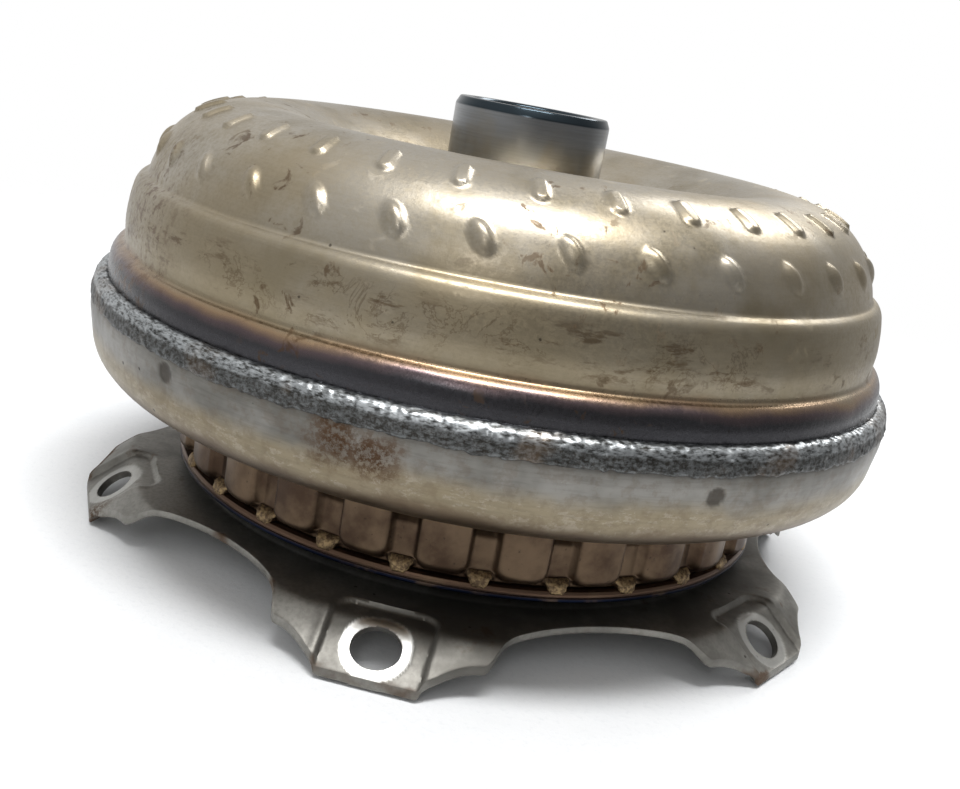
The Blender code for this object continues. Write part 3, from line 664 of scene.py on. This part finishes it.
class Graph:
    """A node tree being made. What its short calls return can be fed to the next one, as can plain values."""

    def __init__(self, owner):
        owner.use_nodes = True
        self.tree = owner.node_tree

    def node(self, kind, settings=None, inputs=None):
        made = self.tree.nodes.new(kind)
        for key, value in (settings or {}).items():
            setattr(made, key, value)
        for key, value in (inputs or {}).items():
            self.feed(made.inputs[key], value)
        return made

    def feed(self, socket, value):
        if isinstance(value, bpy.types.NodeSocket):
            self.tree.links.new(value, socket)
        else:
            socket.default_value = value

    def maths(self, operation, first, second=0.0):
        return self.node("ShaderNodeMath", {"operation": operation}, {0: first, 1: second}).outputs[0]

    def times(self, first, second):
        return self.maths("MULTIPLY", first, second)

    def plus(self, first, second, share):
        """The first value with a share of the second added."""
        return self.maths("ADD", first, self.times(second, share))

    def ease(self, value, low, high):
        """0 to 1 in an S as the value goes from low to high."""
        settings = {"interpolation_type": "SMOOTHSTEP"}
        inputs = {"Value": value, "From Min": low, "From Max": high}
        return self.node("ShaderNodeMapRange", settings, inputs).outputs[0]


class Finish(Graph):
    """A material being made: its shader, the point's own coordinates, and its colour so far."""

    def __init__(self, name, metallic=1.0):
        self.material = bpy.data.materials.new(name)
        super().__init__(self.material)
        self.shader = self.tree.nodes["Principled BSDF"]
        self.shader.inputs["Metallic"].default_value = metallic
        self.place = self.node("ShaderNodeTexCoord").outputs["Object"]
        split = self.node("ShaderNodeSeparateXYZ", inputs={0: self.place})
        self.x, self.y, self.height = split.outputs
        square = self.maths("ADD", self.times(self.x, self.x), self.times(self.y, self.y))
        self.radius = self.maths("SQRT", square)
        self.colour = None

    def above_weld(self):
        """Height above the weld line, in millimetres."""
        return self.maths("SUBTRACT", self.times(self.height, 1.0 / MM), WELD_LINE)

    def noise(self, size, detail=4.0, roughness=0.55, place=None, distortion=0.0):
        """Cloudy values from 0 to 1 whose features are about so many millimetres across."""
        inputs = {
            "Vector": place or self.place, "Scale": 1000.0 / size, "Detail": detail,
            "Roughness": roughness, "Distortion": distortion,
        }
        return self.node("ShaderNodeTexNoise", inputs=inputs).outputs["Fac"]

    def patches(self, low, high, *noise):
        """Soft-edged patches: 0 to 1 as the cloudy values go from low to high."""
        return self.ease(self.noise(*noise), low, high)

    def dots(self, size, spacing, share):
        """1 inside round dots of a size, one to each cell of the spacing, in that share of the cells."""
        cells = self.node("ShaderNodeTexVoronoi", inputs={"Vector": self.place, "Scale": 1000.0 / spacing})
        chosen = self.node("ShaderNodeSeparateColor", inputs={0: cells.outputs["Color"]}).outputs[0]
        ragged = self.times(self.noise(size * 0.8, 3.0), 0.5 * size / spacing)
        inside = self.ease(
            self.maths("ADD", cells.outputs["Distance"], ragged), 0.85 * size / spacing, 0.6 * size / spacing
        )
        return self.times(inside, self.maths("LESS_THAN", chosen, share))

    def cracks(self, size, width, distortion):
        """1 along wandering thin lines: where a cloudy value passes through its middle."""
        cloud = self.noise(size, 6.0, 0.68, distortion=distortion)
        return self.ease(self.maths("ABSOLUTE", self.maths("SUBTRACT", cloud, 0.5)), width, 0.0)

    def lathe(self, along=0.08):
        """Coordinates that change fast along a turned profile and slowly round it, as turning marks do."""
        step = self.maths("SUBTRACT", self.height, self.radius)
        inputs = {"X": self.times(self.x, along), "Y": self.times(self.y, along), "Z": step}
        return self.node("ShaderNodeCombineXYZ", inputs=inputs).outputs[0]

    def spot(self, degrees, radius, level, inner, outer):
        """1 within inner millimetres of a point on the piece, 0 beyond outer, with a ragged border."""
        turn = math.radians(degrees)
        centre = (radius * math.cos(turn) * MM, radius * math.sin(turn) * MM, level * MM)
        settings = {"operation": "DISTANCE"}
        reach = self.node("ShaderNodeVectorMath", settings, {0: self.place, 1: centre}).outputs["Value"]
        ragged = self.maths("SUBTRACT", self.noise(9.0, 5.0, 0.65), 0.5)
        reach = self.maths("ADD", reach, self.times(ragged, (outer - inner) * 1.4 * MM))
        return self.ease(reach, outer * MM, inner * MM)

    def attribute(self, name):
        return self.node("ShaderNodeAttribute", {"attribute_name": name}).outputs["Fac"]

    def mix(self, share, first, second):
        """The first colour where the share is 0 and the second where it is 1."""
        return self.node("ShaderNodeMix", {"data_type": "RGBA"}, {0: share, 6: first, 7: second}).outputs[2]

    def lay(self, mask, share, tint):
        """Lays a share of a tint over the colour so far, where the mask is 1."""
        self.colour = self.mix(self.times(mask, share), self.colour, tint)

    def ramp(self, value, *stops):
        """A colour that runs through the stops, each a (position, colour), as the value goes from 0 to 1."""
        made = self.node("ShaderNodeValToRGB", inputs={0: value})
        elements = made.color_ramp.elements
        while len(elements) < len(stops):
            elements.new(0.5)
        for element, (position, colour) in zip(elements, stops):
            element.position = position
            element.color = colour
        return made.outputs[0]

    def bump(self, height, depth, normal=None):
        """Surface relief: the height from 0 to 1 stands for a depth in millimetres."""
        inputs = {"Height": height, "Distance": depth * MM, "Strength": 1.0}
        if normal is not None:
            inputs["Normal"] = normal
        return self.node("ShaderNodeBump", inputs=inputs).outputs[0]

    def done(self, roughness, normal):
        """The finished material."""
        for key, value in (("Base Color", self.colour), ("Roughness", roughness), ("Normal", normal)):
            self.feed(self.shader.inputs[key], value)
        return self.material


SATIN_GREY = shade(172, 165, 152)
WARM_TAN = shade(160, 148, 126)
OLIVE_TAN = shade(138, 127, 104)
STAIN_BROWN = shade(84, 64, 44)
RUST = shade(92, 66, 44)
DARK_SPECK = shade(50, 44, 38)
TINT_STRAW = shade(146, 120, 94)
TINT_PURPLE = shade(92, 78, 84)
TINT_BLUE = shade(50, 53, 63)
COVER_GREY = shade(132, 130, 125)
COVER_STRAW = shade(138, 126, 102)
COVER_BROWN = shade(96, 80, 64)
BEAD_SILVER = shade(176, 180, 182)
BEAD_DARK = shade(62, 62, 60)
CHOCOLATE = shade(98, 82, 66)
DARK_CHOCOLATE = shade(68, 54, 44)
BRAZE_TAN = shade(160, 138, 104)
RIM_BROWN = shade(88, 70, 58)
# Painted shade for the end plate rim's lower edge.
PAINTED_RIM_SHADE = shade(20, 26, 42)
LUG_GREY = shade(150, 148, 142)
LUG_DARK = shade(104, 102, 97)
SEAT_BRIGHT = shade(230, 230, 226)
HUB_GREY = shade(136, 138, 140)
HUB_BLUE = shade(30, 44, 52)


def pump_shell_steel():
    """Satin steel, tan and brown from heat and oil, darker low down partly by painted shade, with stains,
    specks, and tint colours above the weld.
    """
    f = Finish("pump_shell_steel")
    clouds = f.noise(60.0, 5.0, 0.6)
    f.colour = f.mix(f.ease(clouds, 0.38, 0.62), SATIN_GREY, WARM_TAN)
    f.lay(f.patches(0.44, 0.68, 24.0, 5.0, 0.6), 0.7, OLIVE_TAN)
    mottle = f.noise(1.3, 4.0, 0.7)
    f.lay(f.ease(mottle, 0.40, 0.66), 0.30, OLIVE_TAN)

    level = f.above_weld()
    # Darker olive tan below the lower row of embossments: partly a tan from heat, partly painted shade on the
    # lower, steeper shell.
    f.lay(f.ease(level, 44.0, 32.0), 0.55, OLIVE_TAN)
    uneven = f.times(f.maths("SUBTRACT", f.noise(32.0, 4.0, 0.5), 0.5), 7.0)
    tint_level = f.maths("ADD", level, uneven)
    tint = f.ramp(
        f.times(tint_level, 1.0 / 30.0),
        (0.0, TINT_BLUE), (0.36, TINT_BLUE), (0.43, TINT_PURPLE), (0.50, TINT_STRAW), (0.62, OLIVE_TAN),
        (1.0, OLIVE_TAN),
    )
    f.lay(f.ease(tint_level, 19.0, 14.0), 0.9, tint)

    band = f.times(f.ease(level, 16.0, 21.0), f.ease(level, 36.0, 29.0))
    crackle = f.times(f.cracks(14.0, 0.020, 0.5), f.patches(0.46, 0.56, 30.0, 3.0))
    f.lay(f.times(crackle, band), 0.45, STAIN_BROWN)
    smear = f.times(f.patches(0.52, 0.64, 4.0, 6.0, 0.72, f.lathe(0.3)), band)
    smear = f.times(smear, f.patches(0.44, 0.58, 28.0, 3.0))
    f.lay(smear, 0.65, STAIN_BROWN)
    stained = f.ease(f.noise(7.0, 5.0, 0.62, distortion=0.6), 0.59, 0.66)
    where = f.patches(0.42, 0.60, 45.0, 2.0, 0.5)
    f.lay(f.times(stained, where), 0.75, STAIN_BROWN)
    patch = f.spot(-148.0, 128.0, WELD_LINE + 24.0, 8.0, 40.0)
    rusty = f.times(patch, f.patches(0.50, 0.60, 3.0, 5.0, 0.7))
    f.lay(rusty, 0.75, RUST)
    f.lay(f.dots(0.9, 9.0, 0.45), 0.7, DARK_SPECK)
    streak = f.noise(0.7, 3.0, 0.6, f.lathe())
    f.lay(f.ease(streak, 0.40, 0.62), 0.05, DARK_SPECK)

    roughness = f.plus(0.27, clouds, 0.10)
    roughness = f.plus(roughness, f.ease(mottle, 0.35, 0.65), 0.10)
    roughness = f.plus(roughness, stained, 0.15)
    roughness = f.plus(roughness, f.ease(level, 20.0, 14.0), -0.10)
    normal = f.bump(f.noise(0.9, 4.0, 0.7), 0.030)
    normal = f.bump(streak, 0.002, normal)
    normal = f.bump(f.noise(14.0, 3.0, 0.5), 0.20, normal)
    return f.done(roughness, normal)


def cover_steel():
    """Grey satin steel: tan low down, painted brown shade under the curve, one rusty patch, dark pits."""
    f = Finish("cover_steel")
    level = f.above_weld()
    uneven = f.times(f.maths("SUBTRACT", f.noise(26.0, 5.0, 0.6), 0.5), 10.0)
    uneven_level = f.maths("ADD", level, uneven)
    f.colour = f.mix(f.patches(0.4, 0.65, 30.0, 4.0, 0.6), COVER_GREY, LUG_DARK)
    f.lay(f.ease(uneven_level, -8.0, -15.0), 0.8, COVER_STRAW)
    # Painted shade: brown where the cover curves in under itself towards the drum.
    f.lay(f.ease(uneven_level, -17.0, -23.0), 0.9, COVER_BROWN)
    grain = f.noise(1.1, 4.0, 0.7)
    burnished = f.times(f.ease(uneven_level, -11.0, -14.0), f.ease(uneven_level, -22.0, -18.0))
    worn = f.patches(0.52, 0.60, 1.6, 5.0, 0.75, f.lathe(0.4))
    f.lay(f.times(burnished, worn), 0.30, SATIN_GREY)
    mottle = f.patches(0.46, 0.62, 4.0, 5.0, 0.7)
    f.lay(mottle, 0.25, COVER_BROWN)
    patch = f.spot(-104.0, 139.0, WELD_LINE - 6.5, 2.0, 11.0)
    patch = f.maths("MAXIMUM", patch, f.spot(-100.0, 138.8, WELD_LINE - 8.5, 2.0, 10.0))
    rusty = f.times(patch, f.patches(0.42, 0.56, 1.7, 5.0, 0.8))
    f.lay(patch, 0.45, COVER_BROWN)
    f.lay(rusty, 0.80, RUST)
    pits = f.dots(1.1, 6.5, 0.28)
    f.lay(pits, 0.85, DARK_SPECK)
    stamp = f.attribute("stamp")
    f.lay(stamp, 0.75, DARK_SPECK)
    streak = f.noise(0.8, 3.0, 0.6, f.lathe())
    f.lay(f.ease(streak, 0.45, 0.65), 0.12, DARK_SPECK)
    roughness = f.plus(0.34, f.noise(4.0, 4.0, 0.6), 0.14)
    roughness = f.plus(roughness, rusty, 0.35)
    normal = f.bump(grain, 0.03)
    normal = f.bump(rusty, 0.06, normal)
    normal = f.bump(pits, -0.10, normal)
    return f.done(roughness, f.bump(streak, 0.008, normal))


def weld_steel():
    """Rough silver bead: bright crests above, and painted shade, dark and grainy, along its lower half."""
    f = Finish("weld_steel")
    grain = f.noise(1.2, 5.0, 0.7, f.lathe(0.5))
    f.colour = f.mix(f.ease(grain, 0.34, 0.62), BEAD_DARK, BEAD_SILVER)
    level = f.above_weld()
    # Painted shade: the bead's lower half, its underside, is darkened and speckled darker.
    painted_underside_shade = f.ease(f.plus(level, f.noise(5.0, 4.0), 1.6), 3.9, 2.9)
    f.lay(painted_underside_shade, 0.72, BEAD_DARK)
    f.lay(f.times(painted_underside_shade, f.patches(0.48, 0.58, 1.0, 4.0, 0.7)), 0.6, DARK_SPECK)
    tinted = f.patches(0.54, 0.70, 18.0, 3.0)
    f.lay(tinted, 0.22, TINT_STRAW)
    roughness = f.plus(0.24, grain, 0.16)
    roughness = f.plus(roughness, painted_underside_shade, 0.14)
    return f.done(roughness, f.bump(grain, 0.08))


def drum_steel():
    """Chocolate-brown heat-treated steel with tan braze in tongues at the flats' feet."""
    f = Finish("drum_steel")
    clouds = f.noise(16.0, 5.0, 0.6)
    f.colour = f.mix(f.ease(clouds, 0.36, 0.66), CHOCOLATE, DARK_CHOCOLATE)
    f.lay(f.patches(0.56, 0.70, 9.0, 4.0, 0.6), 0.55, COVER_BROWN)
    specks = f.patches(0.66, 0.72, 2.2, 3.0, 0.6)
    f.lay(specks, 0.6, DARK_SPECK)
    braze = f.ease(f.plus(f.attribute("braze"), f.noise(2.5, 4.0), 0.3), 0.45, 0.80)
    tan = f.mix(f.patches(0.38, 0.62, 1.4, 4.0, 0.7), COVER_BROWN, BRAZE_TAN)
    f.colour = f.mix(braze, f.colour, tan)
    roughness = f.plus(0.34, clouds, 0.18)
    roughness = f.plus(roughness, braze, 0.1)
    normal = f.bump(f.noise(1.0, 4.0, 0.65), 0.03)
    return f.done(roughness, f.bump(f.times(f.noise(1.6, 4.0, 0.7), braze), 0.4, normal))


def end_plate_steel():
    """Brown rim with painted blue-black shade towards its lower edge, satin steel inside."""
    f = Finish("end_plate_steel")
    # Painted shade: the rim's lower edge, over the shadowed gap to the drive plate, turns blue-black.
    low = f.ease(f.height, (END_PLATE_TOP - 1.4) * MM, (END_PLATE_TOP - 2.6) * MM)
    f.colour = f.mix(low, RIM_BROWN, PAINTED_RIM_SHADE)
    f.lay(f.patches(0.5, 0.66, 8.0, 4.0), 0.5, CHOCOLATE)
    f.colour = f.mix(f.ease(f.radius, 100.0 * MM, 95.0 * MM), f.colour, SATIN_GREY)
    streak = f.noise(0.6, 3.0, 0.6, f.lathe())
    return f.done(f.plus(0.32, streak, 0.2), f.bump(streak, 0.02))


def lug_plate_steel():
    """Satin pressed steel with dark specks, bright worn seats round the bolt holes, the front lug's brightest
    as a painted highlight, and rusty cut edges.
    """
    f = Finish("lug_plate_steel")
    clouds = f.noise(34.0, 5.0, 0.6)
    f.colour = f.mix(f.ease(clouds, 0.36, 0.66), LUG_GREY, LUG_DARK)
    grain = f.noise(1.3, 4.0, 0.65)
    f.lay(f.ease(grain, 0.42, 0.62), 0.3, LUG_DARK)
    f.lay(f.dots(1.0, 7.0, 0.35), 0.8, DARK_SPECK)
    grime = f.times(f.patches(0.56, 0.68, 6.0, 5.0, 0.7), f.patches(0.45, 0.60, 50.0, 2.0))
    f.lay(grime, 0.5, STAIN_BROWN)
    near_edge = f.ease(f.plus(f.attribute("cut_edge"), f.noise(5.0, 5.0, 0.7), 0.9), 1.18, 1.45)
    rusty = f.times(near_edge, f.patches(0.53, 0.62, 26.0, 3.0))
    tip = f.times(f.spot(-151.0, 134.5, 4.5, 2.0, 9.0), f.ease(grain, 0.40, 0.52))
    rusty = f.maths("MAXIMUM", rusty, tip)
    f.lay(rusty, 0.7, RUST)
    seat = f.attribute("seat")
    # Bright seats: wear round the bolt holes, with a painted highlight on the front lug's seat.
    f.lay(seat, 0.9, SEAT_BRIGHT)
    roughness = f.plus(0.46, clouds, 0.12)
    roughness = f.plus(roughness, seat, -0.20)
    roughness = f.plus(roughness, rusty, 0.3)
    normal = f.bump(grain, 0.035)
    return f.done(roughness, f.bump(f.noise(12.0, 3.0), 0.18, normal))


def hub_steel():
    """Dark polished steel with fine grinding marks round it and a blue-black chamfer."""
    f = Finish("hub_steel")
    streak = f.noise(0.5, 3.0, 0.6, f.lathe(0.02))
    f.colour = HUB_GREY
    f.lay(f.ease(streak, 0.4, 0.62), 0.25, LUG_DARK)
    f.lay(f.patches(0.5, 0.7, 14.0, 4.0), 0.3, OLIVE_TAN)
    chamfer = f.ease(f.height, (HUB_TOP - HUB_CHAMFER - 0.5) * MM, (HUB_TOP - HUB_CHAMFER + 0.1) * MM)
    f.lay(chamfer, 0.9, HUB_BLUE)
    return f.done(f.plus(0.14, f.noise(6.0, 4.0), 0.12), f.bump(streak, 0.006))


def turned_steel(name, colour, darker, rough):
    """Turned or ground steel: fine marks round the axis, and a thin uneven film of oil."""
    f = Finish(name)
    streak = f.noise(0.8, 3.0, 0.6, f.lathe())
    film = f.noise(18.0, 5.0, 0.6)
    f.colour = colour
    f.lay(f.ease(streak, 0.38, 0.64), 0.45, darker)
    f.lay(f.ease(film, 0.5, 0.7), 0.35, darker)
    return f.done(f.plus(rough, film, 0.12), f.bump(streak, 0.012))


def pressed_steel(name, colour, darker, rough):
    """Pressed sheet: cloudy oil stain, small specks and a fine orange-peel surface."""
    f = Finish(name)
    f.colour = colour
    f.lay(f.patches(0.4, 0.66, 22.0, 5.0, 0.6), 0.6, darker)
    f.lay(f.patches(0.68, 0.74, 2.5, 2.0), 0.7, DARK_SPECK)
    roughness = f.plus(rough, f.noise(5.0, 4.0), 0.14)
    return f.done(roughness, f.bump(f.noise(1.2, 4.0, 0.65), 0.03))


def cast_aluminium():
    """Die-cast skin: pale, grainy, a little uneven."""
    f = Finish("cast_aluminium")
    grain = f.noise(1.0, 4.0, 0.7)
    f.colour = f.mix(f.ease(grain, 0.35, 0.65), shade(190, 191, 192), shade(160, 161, 163))
    return f.done(f.plus(0.38, grain, 0.2), f.bump(grain, 0.06))


def paper_lining():
    """Friction paper: short brown fibres pressed together, matt."""
    f = Finish("paper_lining", metallic=0.0)
    fibre = f.noise(1.1, 5.0, 0.75, distortion=2.5)
    f.colour = f.mix(f.ease(fibre, 0.36, 0.64), shade(124, 92, 60), shade(82, 58, 38))
    return f.done(f.plus(0.75, fibre, 0.15), f.bump(fibre, 0.08))


def seal_rubber():
    """Black rubber with a faint moulded grain and a dusty bloom."""
    f = Finish("seal_rubber", metallic=0.0)
    bloom = f.noise(6.0, 4.0)
    f.colour = f.mix(f.ease(bloom, 0.45, 0.7), shade(26, 26, 27), shade(48, 47, 46))
    return f.done(f.plus(0.55, bloom, 0.2), f.bump(f.noise(0.6, 2.0), 0.02))


def washer_nylon():
    """Natural nylon: creamy, slightly cloudy, with fine turning marks."""
    f = Finish("washer_nylon", metallic=0.0)
    cloud = f.noise(9.0, 4.0)
    f.colour = f.mix(f.ease(cloud, 0.4, 0.65), shade(206, 196, 168), shade(184, 170, 138))
    return f.done(f.plus(0.42, cloud, 0.12), f.bump(f.noise(0.8, 2.0, 0.5, f.lathe()), 0.02))


# ---------------- the object


def make_casing():
    """The outer pieces, each a fine surface in the place of its CAD node."""
    weld = weld_steel()
    as_piece("pump_shell_skin", pump_shell_mesh(), pump_shell_steel(), "pump_shell")
    as_piece("front_cover_skin", front_cover_mesh(), cover_steel(), "front_cover")
    bead = bead_mesh("weld_bead", BEAD_ARC, WELD_LINE, 1440, 0.20, 21)
    as_piece("rippled_weld_bead", bead, weld, "weld_bead")
    as_piece("lobed_drum", drum_mesh(), drum_steel(), "clutch_drum")
    as_piece("drum_end_plate", end_plate_mesh(), end_plate_steel(), "end_plate")
    as_piece("lugged_drive_plate", drive_plate_mesh(), lug_plate_steel(), "drive_plate")
    as_piece("polished_hub", pump_hub_mesh(), hub_steel(), "pump_hub")
    bead = bead_mesh("hub_weld", HUB_WELD_ARC, WELD_LINE + DISH_HEIGHT, 420, 0.14, 31)
    as_piece("rippled_hub_weld", bead, weld, "hub_weld")
    bead = bead_mesh("plate_weld", PLATE_WELD_ARC, END_PLATE_BOTTOM - PLATE_SHEET, 360, 0.12, 41)
    as_piece("rippled_plate_weld", bead, weld, "plate_weld")
    pilot = turned_steel("pilot_boss_steel", shade(198, 198, 198), shade(140, 139, 136), 0.24)
    as_piece("turned_pilot_boss", pilot_boss_mesh(), pilot, "pilot_boss")


def finish_inner_pieces():
    """Gives each CAD node that is kept the finish of its slot."""
    slots = {part["node"]: part["material_slot"] for part in frame["record"]["subparts"]}
    finishes = {
        "inner_steel": pressed_steel("oiled_sheet_steel", shade(172, 168, 160), shade(120, 110, 92), 0.30),
        "dark_steel": pressed_steel("hardened_dark_steel", shade(112, 112, 114), shade(66, 64, 64), 0.32),
        "bright_steel": turned_steel("ground_steel", shade(204, 204, 204), shade(150, 148, 144), 0.22),
        "lining": paper_lining(),
        "rubber": seal_rubber(),
        "aluminium": cast_aluminium(),
        "nylon": washer_nylon(),
    }
    for name, node in frame["nodes"].items():
        if slots[name] in finishes:
            node.data.materials.clear()
            node.data.materials.append(finishes[slots[name]])


# ---------------- stage, light and camera

SKY_BASE = 0.28
SKY_TOP = 0.35
SKY_LEFT = 0.35
SKY_BACK = 0.30


def floor_finish():
    """Pale matt board, faintly grainy, that fades out into the white round it."""
    f = Finish("pale_floor", metallic=0.0)
    grain = f.noise(2.2, 5.0, 0.7)
    f.colour = f.mix(
        f.patches(0.4, 0.7, 90.0, 5.0, 0.6), (0.80, 0.81, 0.82, 1.0), (0.76, 0.775, 0.79, 1.0)
    )
    f.lay(f.ease(grain, 0.5, 0.7), 0.3, (0.66, 0.68, 0.70, 1.0))
    f.feed(f.shader.inputs["Alpha"], f.ease(f.radius, 0.75, 0.20))
    return f.done(f.plus(0.55, f.noise(8.0, 4.0), 0.2), f.bump(grain, 0.15))


def make_stage():
    """A floor three metres square."""
    bpy.ops.mesh.primitive_plane_add(size=3.0)
    floor = bpy.context.object
    floor.name = "floor"
    floor.data.materials.append(floor_finish())


def make_sky():
    """White behind the object; what lights it is a grey room, lighter overhead, behind and to the left."""
    world = bpy.data.worlds.new("studio")
    bpy.context.scene.world = world
    sky = Graph(world)
    direction = sky.node("ShaderNodeTexCoord").outputs["Generated"]
    right, away, up = sky.node("ShaderNodeSeparateXYZ", inputs={0: direction}).outputs
    glow = SKY_BASE
    for way, low, high, amount in (
        (up, 0.3, 1.0, SKY_TOP), (right, 0.3, -0.9, SKY_LEFT), (away, 0.0, 0.9, SKY_BACK),
    ):
        glow = sky.plus(glow, sky.ease(way, low, high), amount)
    seen = sky.node("ShaderNodeLightPath").outputs["Is Camera Ray"]
    strength = sky.node("ShaderNodeMix", inputs={0: seen, 2: glow, 3: 1.0}).outputs[0]
    background = sky.tree.nodes["Background"]
    sky.feed(background.inputs["Strength"], strength)
    sky.feed(background.inputs["Color"], (1.0, 1.0, 1.0, 1.0))


def soft_box(name, place, target, size, power):
    """A rectangular area light, in metres, that is turned to the target and hidden from the camera."""
    light = bpy.data.lights.new(name, "AREA")
    light.shape = "RECTANGLE"
    light.size, light.size_y = size
    light.energy = power
    lamp = bpy.data.objects.new(name, light)
    lamp.visible_camera = False
    bpy.context.scene.collection.objects.link(lamp)
    lamp.location = place
    lamp.rotation_euler = (Vector(target) - Vector(place)).to_track_quat("-Z", "Y").to_euler()


def make_lights():
    """One broad box overhead, a weak tall one in front on the left, and one behind on the right."""
    centre = (0.0, 0.0, 0.08)
    soft_box("overhead_box", (0.06, -0.42, 1.5), centre, (0.8, 0.32), 21.0)
    soft_box("front_window", (-0.25, -1.7, 1.05), centre, (0.22, 0.7), 3.0)
    soft_box("back_box", (0.8, 1.1, 1.3), centre, (0.8, 0.5), 12.0)


CAMERA_LENS = 41.96
CAMERA_DISTANCE = 400.27
CAMERA_HEIGHT = WELD_LINE + 88.18
CAMERA_YAW, CAMERA_TILT, CAMERA_ROLL = (math.radians(angle) for angle in (0.059, 16.019, 10.441))


def make_camera():
    """Stands in front, above the weld: looks down by the tilt and is rolled round its own line of sight."""
    camera = bpy.data.cameras.new("camera")
    camera.lens = CAMERA_LENS
    camera.sensor_width = 36.0
    camera.clip_start = 0.01
    holder = bpy.data.objects.new("camera", camera)
    bpy.context.scene.collection.objects.link(holder)
    upright = Matrix.Rotation(CAMERA_YAW, 4, "Z") @ Matrix.Rotation(math.pi / 2 - CAMERA_TILT, 4, "X")
    place = Matrix.Translation((0.0, -CAMERA_DISTANCE * MM, CAMERA_HEIGHT * MM))
    holder.matrix_world = place @ upright @ Matrix.Rotation(CAMERA_ROLL, 4, "Z")
    bpy.context.scene.camera = holder


make_casing()
finish_inner_pieces()
make_stage()
make_sky()
make_lights()
make_camera()
bpy.context.scene.view_settings.view_transform = "Standard"
